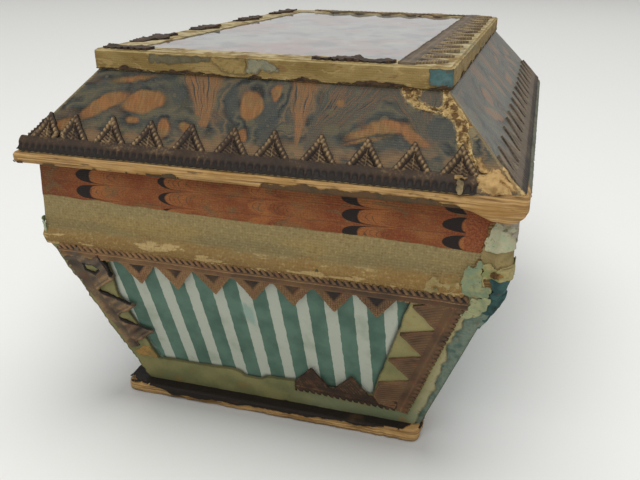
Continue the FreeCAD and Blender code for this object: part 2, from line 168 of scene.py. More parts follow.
def mm(value):
    """A length property in millimetres."""
    return value / MM


def settings():
    return bpy.context.scene


# Places on the box


def outline(node, off=0.0):
    """Half sizes and height of a node's outline at its foot and at its head, in millimetres."""
    co = np.array([v.co[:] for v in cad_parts[node].data.vertices]) / MM
    co[:, 0] -= off
    levels = []
    for z in (co[:, 2].min(), co[:, 2].max()):
        ring = np.abs(co[np.abs(co[:, 2] - z) < 0.01])
        levels.append((ring[:, 0].max(), ring[:, 1].max(), z))
    return levels


FOOT, WAIST = outline("lower_wall_front")
RIM = outline("upper_wall_front")[1]
SLOPE_FOOT, SLOPE_HEAD = outline("lid_slope_front")
PLATE = outline("glass_pane")[1]
LID_LOW, LID_HIGH = outline("lid_board")
BASE_OFF = sum(corner[0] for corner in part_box("base_board")) / 2 / MM
BASE_LOW, BASE_HIGH = outline("base_board", BASE_OFF)


class Face:
    """Flat frame in millimetres on one side: u along the foot, v up the slope, n outwards."""

    def __init__(self, low, high, side):
        ends = [[Vector((sx * hx, sy * hy, z)) for sx, sy in SIDES[side]] for hx, hy, z in (low, high)]
        self.origin = (ends[0][0] + ends[0][1]) / 2
        self.u = (ends[0][1] - ends[0][0]).normalized()
        rise = (ends[1][0] + ends[1][1]) / 2 - self.origin
        self.height = rise.length
        self.v = rise.normalized()
        self.n = self.u.cross(self.v)
        self.foot = (ends[0][1] - ends[0][0]).length / 2
        self.head = (ends[1][1] - ends[1][0]).length / 2

    def half_at(self, v):
        return self.foot + (self.head - self.foot) * v / self.height

    def outline(self, low=0.0, high=0.0, ends=0.0):
        """Outline of the whole side, drawn in at the foot, the head and both ends."""
        top = self.height - high
        return [(-self.half_at(low) + ends, low), (self.half_at(low) - ends, low),
                (self.half_at(top) - ends, top), (-self.half_at(top) + ends, top)]

    def place(self, flat):
        axes = np.array([self.u, self.v, self.n])
        return (np.array(self.origin) + flat @ axes) * MM


def lower_face(side):
    return Face(FOOT, WAIST, side)


def slope_face(side):
    return Face(SLOPE_FOOT, SLOPE_HEAD, side)


def plate_face(side, top):
    """Frame on the flat top, with u along one edge of the plate and v inwards."""
    hx, hy, _ = PLATE
    return Face((hx, hy, top), (hx - 1, hy - 1, top), side)


class Wrap:
    """Frame around a rounded rectangle: u runs round it from the front's middle, v up the profile."""

    ARC_STEPS = 6

    def __init__(self, half, radius, profile, off=0.0):
        self.profile = profile
        core = (half[0] - radius, half[1] - radius)
        turns = [-math.pi / 2, 0.0, math.pi / 2, math.pi]
        signs = [(1, -1), (1, 1), (-1, 1), (-1, -1)]
        rows = [(off, -half[1], 0.0, -1.0)]
        for start, (sx, sy) in zip(turns, signs):
            for i in range(self.ARC_STEPS + 1):
                angle = start + math.pi / 2 * i / self.ARC_STEPS
                nx, ny = math.cos(angle), math.sin(angle)
                rows.append((off + sx * core[0] + radius * nx, sy * core[1] + radius * ny, nx, ny))
        rows.append(rows[0])
        self.path = np.array(rows)
        steps = np.hypot(*np.diff(self.path[:, :2], axis=0).T)
        self.along = np.concatenate([[0.0], np.cumsum(steps)])
        self.length = self.along[-1]

    def place(self, flat):
        u = np.mod(flat[:, 0], self.length)
        x, y, nx, ny = [np.interp(u, self.along, column) for column in self.path.T]
        out, z = self.profile(flat[:, 1])
        reach = out + flat[:, 2]
        return np.stack([x + nx * reach, y + ny * reach, z], axis=1) * MM


def profile(marks, outs, heights):
    """Profile for a wrap: how far out and how high it runs at each of its marks."""
    return lambda v: (np.interp(v, marks, outs), np.interp(v, marks, heights))


def waist_profile(v):
    """Outer face of the upper wall above the waist and of the lower wall below it."""
    lower = math.hypot(WAIST[0] - FOOT[0], WAIST[2] - FOOT[2])
    upper = math.hypot(WAIST[0] - RIM[0], RIM[2] - WAIST[2])
    out = np.where(v > 0, v / upper * (RIM[0] - WAIST[0]), v / lower * (WAIST[0] - FOOT[0]))
    z = WAIST[2] + np.where(v > 0, v / upper * (RIM[2] - WAIST[2]), v / lower * (WAIST[2] - FOOT[2]))
    return out, z


# Shapes in flat millimetres


def graph(value, points):
    """Height over a value on the line through (value, height) points."""
    return np.interp(value, *zip(*points))


def rough(u, v, size, seed, octaves=4):
    """Smooth unevenness between about -1 and 1, with features of the given size."""
    draw = np.random.default_rng(seed)
    total = np.zeros_like(u, dtype=float)
    weight = 1.0
    for octave in range(octaves):
        scale = 2 * math.pi / (size * 2) * 2 ** octave
        for _ in range(4):
            angle, phase, stretch = draw.uniform(0, 2 * math.pi, 3)
            k = scale * (0.7 + 0.6 * stretch / (2 * math.pi))
            total += weight * np.sin(k * (u * math.cos(angle) + v * math.sin(angle)) + phase) / 3
        weight *= 0.5
    return total


def polygon(points):
    """Signed distance to a closed outline in millimetres, positive inside."""
    corners = [np.array(p, dtype=float) for p in points]

    def inside(u, v):
        best = np.full(u.shape, np.inf)
        within = np.zeros(u.shape, dtype=bool)
        for a, b in zip(corners, corners[1:] + corners[:1]):
            d = b - a
            t = np.clip(((u - a[0]) * d[0] + (v - a[1]) * d[1]) / (d @ d), 0, 1)
            best = np.minimum(best, np.hypot(u - a[0] - t * d[0], v - a[1] - t * d[1]))
            if d[1]:
                crosses = (a[1] > v) != (b[1] > v)
                within ^= crosses & (u < a[0] + (v - a[1]) * d[0] / d[1])
        return np.where(within, best, -best)

    return inside


def rectangle(half_u, half_v):
    return [(-half_u, -half_v), (half_u, -half_v), (half_u, half_v), (-half_u, half_v)]


def ragged(inside, depth, size, seed):
    """The same outline with a torn edge."""
    return lambda u, v: inside(u, v) + depth * rough(u, v, size, seed)


def uneven(level, height, size, seed):
    """Lift at a level, with unevenness of a height, a feature size and a seed."""
    return lambda u, v: level + height * rough(u, v, size, seed)


def both(*shapes):
    return lambda u, v: np.minimum.reduce([shape(u, v) for shape in shapes])


def joined(*shapes):
    return lambda u, v: np.maximum.reduce([shape(u, v) for shape in shapes])


def without(shape, hole):
    return lambda u, v: np.minimum(shape(u, v), -hole(u, v))


def box_of(points, margin=2.0):
    """Ranges in u and v that hold an outline with a margin around it."""
    low = np.min(points, axis=0) - margin
    high = np.max(points, axis=0) + margin
    return (low[0], high[0]), (low[1], high[1])


class Sheet:
    """Flat mesh in millimetres, with u on X, v on Y and the lift off its board on Z."""

    SNAPS = 3
    PROBE = 0.02
    LEAST_SLOPE = 0.5
    MARGIN = 3.0

    def __init__(self, u_range, v_range, step):
        self.bm = bmesh.new()
        self.depth = 0.0
        for layer in ("relief", "edge"):
            self.bm.verts.layers.float.new(layer)
        width, height = u_range[1] - u_range[0], v_range[1] - v_range[0]
        bmesh.ops.create_grid(self.bm, x_segments=max(1, round(width / step)),
                              y_segments=max(1, round(height / step)), size=0.5)
        bmesh.ops.scale(self.bm, vec=(width, height, 1), verts=self.bm.verts)
        middle = (sum(u_range) / 2, sum(v_range) / 2, 0)
        bmesh.ops.translate(self.bm, vec=middle, verts=self.bm.verts)

    def flat(self):
        return np.array([v.co[:] for v in self.bm.verts])

    def move(self, places):
        for vert, place in zip(self.bm.verts, places):
            vert.co = place

    def cut(self, inside, worn=None):
        """Remove what lies outside, draw the cut edge onto the outline and keep how near it is."""
        flat = self.flat()
        keep = inside(flat[:, 0], flat[:, 1]) > 0
        loose = [vert for vert, kept in zip(self.bm.verts, keep) if not kept]
        bmesh.ops.delete(self.bm, geom=loose, context="VERTS")
        stray = [vert for vert in self.bm.verts if not vert.link_faces]
        bmesh.ops.delete(self.bm, geom=stray, context="VERTS")
        edge = [vert for vert in self.bm.verts if vert.is_boundary]
        if not edge:
            return self
        at = np.array([vert.co[:2] for vert in edge])
        for _ in range(self.SNAPS):
            u, v = at.T
            depth = inside(u, v)
            slope = np.stack([inside(u + self.PROBE, v) - inside(u - self.PROBE, v),
                              inside(u, v + self.PROBE) - inside(u, v - self.PROBE)]) / (2 * self.PROBE)
            steep = np.maximum((slope ** 2).sum(axis=0), self.LEAST_SLOPE ** 2)
            at = at - (slope * depth / steep).T
        for vert, (u, v) in zip(edge, at):
            vert.co.x, vert.co.y = u, v
        flat = self.flat()
        self.keep("edge", np.clip((worn or inside)(flat[:, 0], flat[:, 1]) / self.MARGIN, 0, 1))
        return self

    def keep(self, layer, values):
        """Keep one number per point for the finish to read."""
        handle = self.bm.verts.layers.float[layer]
        for vert, value in zip(self.bm.verts, values):
            vert[handle] = value

    def lift(self, height):
        """Raise every point to height(u, v)."""
        flat = self.flat()
        flat[:, 2] = height(flat[:, 0], flat[:, 1])
        self.move(flat)
        return self

    def press(self, pressing):
        """Raise every point by a pressing, which gives its lift and how high its pattern stands there."""
        flat = self.flat()
        flat[:, 2], pattern = pressing(flat[:, 0], flat[:, 1])
        self.move(flat)
        self.keep("relief", pattern)
        return self

    def close(self, back=0.02):
        """Turn the edge down to the lift back and close the underside with one flat face."""
        rim = [edge for edge in self.bm.edges if edge.is_boundary]
        made = bmesh.ops.extrude_edge_only(self.bm, edges=rim)["geom"]
        for vert in (g for g in made if isinstance(g, bmesh.types.BMVert)):
            vert.co.z = back
        lower = [g for g in made if isinstance(g, bmesh.types.BMEdge) and g.is_boundary]
        bmesh.ops.triangle_fill(self.bm, edges=lower, use_beauty=False)
        return self

    def thicken(self, depth):
        """Give the sheet, once it is in place, a back at an even depth below its face."""
        self.depth = depth
        return self

    def turn(self, origin, along):
        """Lay strip coordinates on a face: s along a direction from an origin, t to its left."""
        c, s = Vector(along).normalized()
        matrix = Matrix(((c, -s, 0, origin[0]), (s, c, 0, origin[1]), (0, 0, 1, 0), (0, 0, 0, 1)))
        self.bm.transform(matrix)
        return self

    def piece(self, name, place, material, body, slot, replaces=()):
        """Lay the sheet in place and hand it over as one finished piece."""
        layer = self.bm.verts.layers.float_vector.new("sheet")
        for vert in self.bm.verts:
            vert[layer] = vert.co
        self.move(place(self.flat()))
        bmesh.ops.remove_doubles(self.bm, verts=self.bm.verts, dist=WELD)
        if self.depth:
            self.bm.normal_update()
            made = bmesh.ops.extrude_face_region(self.bm, geom=self.bm.faces[:], use_keep_orig=True)["geom"]
            for vert in (g for g in made if isinstance(g, bmesh.types.BMVert)):
                vert.co -= vert.normal * self.depth * MM
        return finished(self.bm, name, material, body, replaces)


def scrap(points, step, torn, lift):
    """Torn scrap of paper from its outline; torn is for ragged and lift for uneven."""
    return Sheet(*box_of(points), step).cut(ragged(polygon(points), *torn)).lift(uneven(*lift))


def finished(bm, name, material, body, replaces=()):
    """Turn a bmesh in metres into a piece that rides on its body."""
    bmesh.ops.recalc_face_normals(bm, faces=bm.faces)
    mesh = bpy.data.meshes.new(name)
    bm.to_mesh(mesh)
    bm.free()
    mesh.shade_smooth()
    mesh.set_sharp_from_angle(angle=SHARP)
    mesh.materials.append(material)
    piece = bpy.data.objects.new(name, mesh)
    bpy.context.scene.collection.objects.link(piece)
    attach(piece, body)
    if replaces:
        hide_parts(*replaces)
    return piece


def dress(node, material):
    """Give a CAD node that keeps its shape a finish of its own."""
    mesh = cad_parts[node].data
    mesh.materials.clear()
    mesh.materials.append(material)


# Finishes


class Finish:
    """One surface finish, built as a node tree around a Principled shader. Lengths are millimetres."""

    def __init__(self, name):
        self.material = bpy.data.materials.new(name)
        self.material.use_nodes = True
        self.nodes = self.material.node_tree.nodes
        self.links = self.material.node_tree.links
        self.shader = self.nodes["Principled BSDF"]
        self.colours = settings().casket_colours
        self.shade = None

    def feed(self, socket, value):
        if isinstance(value, bpy.types.NodeSocket):
            self.links.new(value, socket)
        else:
            socket.default_value = value

    def node(self, kind, inputs=None, **fields):
        node = self.nodes.new(kind)
        for key, value in fields.items():
            setattr(node, key, value)
        for key, value in (inputs or {}).items():
            self.feed(node.inputs[key], value)
        return node

    def math(self, operation, a, b=0.0, c=0.0):
        return self.node("ShaderNodeMath", {0: a, 1: b, 2: c}, operation=operation).outputs[0]

    def add(self, a, b):
        return self.math("ADD", a, b)

    def times(self, a, b):
        return self.math("MULTIPLY", a, b)

    def mix(self, factor, a, b):
        return self.node("ShaderNodeMix", {0: factor, 6: a, 7: b}, data_type="RGBA").outputs[2]

    def over(self, shade, factor, strength, colour):
        """A colour laid over a shade by a factor times a strength."""
        return self.mix(self.times(factor, strength), shade, colour)

    def coat(self, factor, strength, colour):
        """Lay a colour over the shade reached so far."""
        self.shade = self.over(self.shade, factor, strength, colour)

    def swing(self, noise, width):
        """A noise turned into a swing to either side of zero."""
        return self.times(self.add(noise, -0.5), width)

    def span(self, value, start, end):
        """0 at start and 1 at end, in a straight line."""
        inputs = {"Value": value, "From Min": start, "From Max": end}
        return self.node("ShaderNodeMapRange", inputs).outputs[0]

    def rise(self, value, low, high):
        """0 below low, 1 above high and smooth between; falls where high is below low."""
        inputs = {"Value": value, "From Min": low, "From Max": high}
        return self.node("ShaderNodeMapRange", inputs, interpolation_type="SMOOTHSTEP").outputs[0]

    def on_box(self):
        """Place on the box in millimetres."""
        where = self.node("ShaderNodeTexCoord").outputs["Object"]
        return self.node("ShaderNodeVectorMath", {0: where, "Scale": 1 / MM}, operation="SCALE").outputs[0]

    def on_sheet(self):
        """Place on the piece's own flat sheet in millimetres."""
        return self.node("ShaderNodeAttribute", attribute_name="sheet").outputs["Vector"]

    def pressed(self):
        """How high the pressed pattern stands, from 0 to 1."""
        return self.node("ShaderNodeAttribute", attribute_name="relief").outputs["Fac"]

    def edge(self):
        """0 at the cut edge of a sheet, 1 well inside it."""
        return self.node("ShaderNodeAttribute", attribute_name="edge").outputs["Fac"]

    def fringe(self, noise, wander, start, full):
        """Strip along the cut edge: 0 where the edge value is above start, 1 below full."""
        return self.rise(self.add(self.edge(), self.swing(noise, wander)), start, full)

    def parts(self, vector):
        return self.node("ShaderNodeSeparateXYZ", {0: vector}).outputs

    def join(self, x, y, z=0.0):
        return self.node("ShaderNodeCombineXYZ", {0: x, 1: y, 2: z}).outputs[0]

    def noise(self, where, size, detail=4.0, stretch=(1, 1, 1), warp=0.0):
        scale = tuple(1 / (size * s) for s in stretch)
        mapped = self.node("ShaderNodeMapping", {"Vector": where, "Scale": scale}).outputs[0]
        inputs = {"Vector": mapped, "Scale": 1.0, "Detail": detail, "Distortion": warp}
        return self.node("ShaderNodeTexNoise", inputs).outputs["Fac"]

    def ribs(self, along, period):
        return self.math("SINE", self.times(along, 2 * math.pi / period))

    def bands(self, value, stops):
        """Colour ramp from (position, colour) pairs."""
        node = self.node("ShaderNodeValToRGB", {0: value})
        ramp = node.color_ramp
        while len(ramp.elements) < len(stops):
            ramp.elements.new(1.0)
        for element, (position, shade) in zip(ramp.elements, stops):
            element.position = position
            element.color = shade
        return node.outputs[0]

    def done(self, roughness, height, depth, gloss=0.15):
        """Wire the shade reached, the roughness and a bump height in millimetres times depth."""
        self.shader.inputs["Specular IOR Level"].default_value = gloss
        self.feed(self.shader.inputs["Base Color"], self.shade)
        self.feed(self.shader.inputs["Roughness"], roughness)
        inputs = {"Height": height, "Distance": depth * MM, "Strength": 1.0}
        self.links.new(self.node("ShaderNodeBump", inputs).outputs[0], self.shader.inputs["Normal"])
        return self.material

    def weave(self, u, v):
        """Fine ribs of a covering paper."""
        return self.add(self.times(self.ribs(u, 0.5), 0.55), self.ribs(v, 0.62))


def wood_finish():
    f = Finish("Bare worn softwood")
    c = f.colours
    where = f.on_box()
    grain = f.noise(where, 1.0, 6.0, (16, 16, 0.45), 0.4)
    patches = f.noise(where, 7.0, 4.0, (1.5, 1.5, 0.5))
    flecks = f.rise(f.noise(where, 1.8, 4.0, (3.0, 3.0, 0.6)), 0.62, 0.7)
    f.shade = f.mix(f.rise(grain, 0.35, 0.75), c.wood, c.wood_deep)
    f.coat(f.rise(patches, 0.48, 0.7), 0.6, c.ochre)
    # Darker at the foot of the base board, in patches: painted shade and dirt
    dirt_and_painted_shade = f.times(f.rise(f.parts(where)[2], 2.0, 0.2), f.rise(patches, 0.3, 0.56))
    f.coat(f.math("MAXIMUM", flecks, dirt_and_painted_shade), 0.55, c.bronze_deep)
    return f.done(f.rise(grain, -0.6, 1.4), f.add(grain, patches), 0.45)


def black_paper_finish():
    f = Finish("Black base paper")
    c = f.colours
    where = f.on_box()
    scuff = f.noise(where, 5.0, 6.0, (2.2, 2.2, 0.8))
    fine = f.noise(where, 0.5, 3.0)
    f.shade = f.over(c.black, f.rise(scuff, 0.56, 0.8), 0.5, c.wood_deep)
    f.shade = f.mix(f.rise(f.add(f.edge(), f.times(fine, 0.08)), 0.1, 0.04), f.shade, c.ochre)
    return f.done(f.rise(fine, -0.7, 1.3), f.add(scuff, f.times(fine, 0.3)), 0.25)


def card_finish():
    f = Finish("Aged window card")
    c = f.colours
    where = f.on_box()
    clouds = f.noise(where, 12.0, 5.0)
    stains = f.rise(f.noise(where, 6.0, 5.0), 0.58, 0.74)
    fine = f.noise(where, 0.8, 4.0)
    f.shade = f.mix(f.rise(clouds, 0.38, 0.66), c.card, c.card_green)
    x, _, z = f.parts(where)
    pale = f.times(f.rise(x, 30.0, 42.0), f.rise(z, 26.0, 44.0))
    f.coat(pale, 0.55, tint(158, 146, 100))
    brink = f.rise(f.add(x, f.times(z, -0.31)), 39.0, 42.6)
    f.coat(brink, 0.6, tint(160, 154, 122))
    damp = f.times(f.rise(x, 2.0, 16.0), f.rise(z, 12.0, 8.0))
    f.coat(damp, 0.5, tint(112, 124, 98))
    f.coat(stains, 0.45, c.ochre)
    f.coat(f.rise(fine, 0.58, 0.75), 0.3, c.wood_deep)
    dirt_and_painted_shade = f.fringe(fine, 0.3, 0.22, 0.0)
    f.coat(dirt_and_painted_shade, 0.5, c.bronze_deep)
    return f.done(f.rise(fine, -1.4, 1.3), f.add(fine, clouds), 0.08)


def cream_band_finish():
    f = Finish("Ribbed cream band")
    c = f.colours
    where = f.on_box()
    u, v, _ = f.parts(f.on_sheet())
    clouds = f.noise(where, 16.0, 5.0, (1.6, 1.6, 0.45))
    spots = f.noise(where, 3.4, 6.0, (2.2, 2.2, 0.6))
    fine = f.noise(where, 0.7, 4.0)
    f.shade = f.mix(f.rise(clouds, 0.36, 0.66), c.cream, c.cream_grey)
    f.coat(f.rise(v, 5.0, 9.5), 0.5, tint(136, 122, 86))
    dull = f.times(f.rise(v, 1.5, 3.2), f.rise(v, 6.6, 4.6))
    f.coat(f.times(dull, f.rise(clouds, 0.3, 0.6)), 0.55, tint(112, 102, 72))
    worn = f.rise(f.add(v, f.swing(spots, 10.0)), 4.5, -0.5)
    f.coat(worn, 0.7, tint(124, 94, 52))
    bare = f.times(f.rise(spots, 0.57, 0.61), f.rise(v, 2.6, 1.2))
    f.coat(bare, 0.7, c.torn)
    f.coat(f.rise(fine, 0.52, 0.7), 0.4, c.wood_deep)
    f.coat(f.rise(fine, 0.46, 0.3), 0.3, c.torn)
    ribs = f.add(f.times(f.ribs(u, 0.8), 0.8), f.times(f.ribs(v, 0.74), 0.8))
    f.coat(f.rise(ribs, 0.0, 1.4), 0.17, c.wood_deep)
    return f.done(f.rise(fine, -1.4, 1.3), f.add(f.times(ribs, 0.5), fine), 0.07)


def striped_finish(first, pitch, foot_shift, foot_pitch, v_low, v_high):
    """Hand-striped paper whose stripes close up and shift a little towards the foot."""
    f = Finish("Striped window paper")
    c = f.colours
    where = f.on_sheet()
    u, v, _ = f.parts(where)
    wobble = f.swing(f.noise(where, 2.5, 3.0), 0.7)
    drop = f.span(v, v_high, v_low)
    start = f.add(f.times(drop, foot_shift), first)
    gap = f.add(f.times(drop, foot_pitch - pitch), pitch)
    count = f.math("DIVIDE", f.math("SUBTRACT", f.add(u, wobble), start), gap)
    off = f.math("ABSOLUTE", f.math("SUBTRACT", count, f.math("ROUND", count)))
    clouds = f.noise(where, 9.0, 5.0)
    fine = f.noise(where, 0.9, 4.0)
    green = f.mix(f.rise(clouds, 0.35, 0.7), c.green, tint(68, 92, 80))
    white = f.over(c.white, f.rise(clouds, 0.5, 0.72), 0.4, c.mint)
    f.shade = f.mix(f.rise(off, 0.205, 0.225), white, green)
    slant = f.add(v, f.times(f.add(u, 4.6), 0.7))
    smear = f.times(f.rise(f.math("ABSOLUTE", f.add(f.add(u, wobble), 4.5)), 2.4, 0.9),
                    f.rise(f.math("ABSOLUTE", f.add(f.add(slant, f.times(wobble, 3.0)), -38.0)), 5.0, 2.0))
    f.coat(smear, 0.7, tint(118, 148, 136))
    f.coat(f.rise(fine, 0.62, 0.75), 0.25, c.ochre)
    # Painted shade on the striped paper along the window's edge, where the card stands over it
    dirt_and_painted_shade = f.fringe(clouds, 0.25, 1.0, 0.55)
    f.coat(dirt_and_painted_shade, 0.7, c.ink)
    return f.done(f.rise(fine, -0.9, 1.6), f.add(fine, clouds), 0.05)


def teal_finish():
    f = Finish("Teal side paper")
    c = f.colours
    where = f.on_box()
    clouds = f.noise(where, 26.0, 5.0)
    scrape = f.noise(where, 3.0, 7.0, (0.8, 2.4, 0.8), 0.6)
    wear = f.noise(where, 30.0, 3.0)
    fine = f.noise(where, 0.6, 4.0)
    f.shade = f.mix(f.rise(clouds, 0.35, 0.7), c.teal, tint(42, 68, 66))
    marks = f.rise(f.add(scrape, f.swing(wear, 0.5)), 0.64, 0.72)
    f.coat(marks, 0.5, c.teal_grey)
    f.coat(f.rise(fine, 0.58, 0.72), 0.35, c.ink)
    rubbed = f.fringe(scrape, 1.6, 0.42, 0.1)
    f.coat(rubbed, 0.6, c.teal_grey)
    return f.done(f.rise(scrape, -0.6, 1.4), f.add(scrape, f.times(fine, 0.4)), 0.12)


def red_marbled_finish(first, pitch, row):
    """Paper marbled in rows of dark crescents, each with a light disc and rings behind it."""
    f = Finish("Red comb-marbled paper")
    c = f.colours
    where = f.on_sheet()
    u, v, _ = f.parts(where)
    sway = f.swing(f.noise(where, 14.0, 2.0), 5.0)
    level = f.add(f.add(v, f.times(u, -0.0195)), f.times(sway, 0.2))
    track = f.math("FRACT", f.add(f.math("DIVIDE", level, row), 0.148))
    side = f.math("ABSOLUTE", f.add(f.times(track, 2.0), -1.0))
    nose = f.math("SQRT", f.math("MAXIMUM", f.add(1.0, f.times(f.times(side, side), -1.0)), 0.0))
    tail = f.math("POWER", side, 12.0)
    pulled = f.add(f.add(u, f.times(sway, 0.5)), f.add(f.times(nose, 7.0), f.times(tail, -10.0)))
    count = f.math("DIVIDE", f.add(pulled, -first), pitch)
    turn = f.math("FRACT", count)
    third = f.math("COSINE", f.add(f.times(f.math("FLOOR", count), 1.98), -0.3))
    wide = f.times(f.add(f.times(third, 0.1), 0.088), f.add(f.times(nose, 0.92), 0.08))
    last = f.times(f.rise(u, 48.0, 50.0), f.rise(u, 58.0, 56.0))
    wide = f.math("MAXIMUM", wide, f.times(f.times(last, nose), 0.17))
    past = f.math("SUBTRACT", turn, wide)
    warm = f.noise(where, 6.0, 5.0, (1.6, 0.8, 1))
    fine = f.noise(where, 0.45, 4.0)
    swirl = f.noise(where, 5.0, 3.0)
    f.shade = f.mix(f.rise(warm, 0.36, 0.66), c.red, c.orange)
    f.coat(f.rise(u, -50.0, -64.0), 0.5, tint(84, 50, 32))
    disc = f.times(f.rise(past, 0.0, 0.02), f.rise(past, 0.27, 0.2))
    f.coat(disc, 0.45, tint(158, 100, 56))
    rings = f.rise(f.ribs(f.add(turn, f.times(swirl, 0.25)), 0.062), 0.7, 0.98)
    faint = f.times(f.rise(turn, 0.95, 0.3), f.rise(swirl, 0.4, 0.55))
    f.coat(f.times(rings, faint), 0.8, tint(72, 58, 42))
    streak = f.times(f.rise(f.noise(where, 7.0, 4.0, (1.0, 0.5, 1), 1.0), 0.54, 0.68), 0.6)
    f.shade = f.mix(streak, f.shade, tint(96, 84, 58))
    line = f.times(f.rise(side, 0.93, 0.995), f.rise(turn, 0.85, 0.3))
    f.coat(line, 0.55, c.ink)
    f.coat(f.rise(fine, 0.5, 0.7), 0.4, c.ochre)
    f.coat(f.rise(fine, 0.46, 0.3), 0.45, tint(80, 40, 26))
    blot = f.times(f.rise(past, 0.008, -0.008), f.rise(turn, 0.0, 0.012))
    f.coat(blot, f.rise(fine, 0.9, 0.66), tint(36, 29, 26))
    plain = f.times(f.rise(u, 55.3, 55.8), f.rise(u, 72.0, 66.0))
    f.coat(plain, 0.9, f.mix(f.rise(fine, 0.36, 0.64), tint(108, 54, 32), tint(138, 80, 48)))
    ribs = f.weave(u, v)
    f.coat(f.rise(ribs, 0.2, 1.4), 0.16, c.ink)
    return f.done(f.rise(fine, -1.0, 1.6), f.add(f.times(ribs, 0.4), fine), 0.06)


def slate_marbled_finish(name, fans, blots, pools, painted_sheen=0.0):
    """Slate paper with rust blots, and fans of fine strands that meet where a tine was drawn.

    A fan is (u, v, left, right, warm): where its strands meet, how far it opens to either side for each
    millimetre up, and whether it carries rust. A blot is (u, v, half length, half width, lean in degrees),
    and so is a pool of dark slate. The last argument is how much of a grey painted sheen, a painted
    reflection, lies on the paper.
    """
    f = Finish(name)
    c = f.colours
    where = f.on_sheet()
    u, v, _ = f.parts(where)
    bend = f.swing(f.noise(where, 8.0, 2.0), 4.0)
    sway = f.swing(f.noise(f.join(v, u), 6.0, 2.0), 3.0)
    fu, fv = f.add(u, bend), f.add(v, sway)
    flow = f.join(fu, fv)
    clouds = f.noise(where, 10.0, 4.0)
    fine = f.noise(where, 0.5, 4.0)

    def reach(spots):
        nearest = None
        for place_u, place_v, long, wide, lean in spots:
            inputs = {"Vector": flow, "Location": (place_u, place_v, 0),
                      "Rotation": (0, 0, math.radians(lean)), "Scale": (long, wide, 1)}
            local = f.node("ShaderNodeMapping", inputs, vector_type="TEXTURE").outputs[0]
            far = f.node("ShaderNodeVectorMath", {0: local}, operation="LENGTH").outputs["Value"]
            gap = f.times(f.add(far, -1.0), math.sqrt(wide * min(wide, long)))
            nearest = gap if nearest is None else f.math("MINIMUM", nearest, gap)
        return nearest

    near = reach(blots)
    strands = f.add(near, f.swing(f.noise(flow, 4.0, 2.5, (1.7, 1.0, 1), 1.0), 6.0))
    stops = ((0.18, c.ink), (0.28, c.slate), (0.4, c.olive), (0.47, c.slate), (0.55, c.ink), (0.62, c.slate),
             (0.72, tint(104, 86, 62)), (0.8, c.slate), (0.9, c.olive))
    drawn = f.span(strands, -2.0, 8.0)
    f.shade = f.bands(drawn, stops)
    f.coat(f.rise(clouds, 0.45, 0.68), 0.5, c.olive)
    f.coat(f.rise(clouds, 0.46, 0.34), 0.5, tint(92, 70, 50))
    low = f.times(f.rise(fv, 11.0, 6.5), f.rise(f.noise(where, 4.0, 3.0, (1.6, 1.0, 1)), 0.36, 0.56))
    f.coat(low, 0.75, tint(126, 98, 68))
    for place_u, place_v, left, right, warm in fans:
        up = f.math("MAXIMUM", f.add(fv, 1.5 - place_v), 0.4)
        lean = f.math("DIVIDE", f.add(fu, -place_u), up)
        across = f.times(f.rise(lean, left - 0.1, left + 0.1), f.rise(lean, right + 0.1, right - 0.1))
        within = f.times(across, f.rise(fv, place_v - 0.5, place_v + 1.5))
        threads = f.noise(f.join(f.times(lean, 24.0), f.times(fv, 0.08)), 1.0, 4.0)
        line = c.rust if warm else c.slate
        stops = ((0.3, c.olive), (0.39, line), (0.46, c.olive), (0.5, line), (0.57, tint(108, 80, 54)),
                 (0.63, c.slate), (0.72, c.ink))
        f.shade = f.mix(within, f.shade, f.bands(threads, stops))
    f.coat(f.rise(reach(pools), 0.7, -1.0), 0.8, c.slate)
    rust = f.rise(f.add(near, f.swing(fine, 0.8)), 0.5, -0.5)
    inputs = {0: flow, 1: (1 / 7.0, 1 / 5.5, 1)}
    spread = f.node("ShaderNodeVectorMath", inputs, operation="MULTIPLY").outputs[0]
    cells = f.node("ShaderNodeTexVoronoi", {"Vector": spread, "Scale": 1.0, "Randomness": 0.9},
                   feature="F1", voronoi_dimensions="2D")
    size = f.add(f.times(f.parts(cells.outputs["Color"])[0], 0.36), -0.14)
    small = f.rise(f.math("SUBTRACT", size, cells.outputs["Distance"]), -0.03, 0.03)
    f.coat(small, 0.8, c.olive)
    fibres = f.noise(where, 0.8, 3.0, (0.8, 4.0, 1))
    tan = f.mix(f.rise(f.noise(where, 5.0, 3.0), 0.4, 0.62), c.rust, tint(128, 100, 62))
    f.shade = f.mix(rust, f.shade, f.over(tan, f.rise(fibres, 0.34, 0.62), 0.5, tint(98, 70, 42)))
    # Painted shadow along the foot of the paper, under the band of the lid trim
    f.coat(f.rise(v, 1.2, 0.4), 0.8, c.ink)
    f.coat(f.rise(fine, 0.55, 0.72), 0.2, tint(132, 122, 94))
    # Painted sheen: a grey haze laid on the right slope's paper, a painted reflection seen at a grazing view
    if painted_sheen:
        f.coat(f.rise(clouds, 0.2, 0.7), painted_sheen, tint(132, 134, 128))
    ribs = f.weave(u, v)
    f.coat(f.rise(ribs, 0.2, 1.5), 0.16, c.ink)
    worn = f.fringe(fine, 0.5, 0.2, 0.05)
    f.coat(worn, 0.3, c.torn)
    return f.done(f.rise(clouds, -0.5, 1.6), f.add(f.times(ribs, 0.4), fine), 0.05)


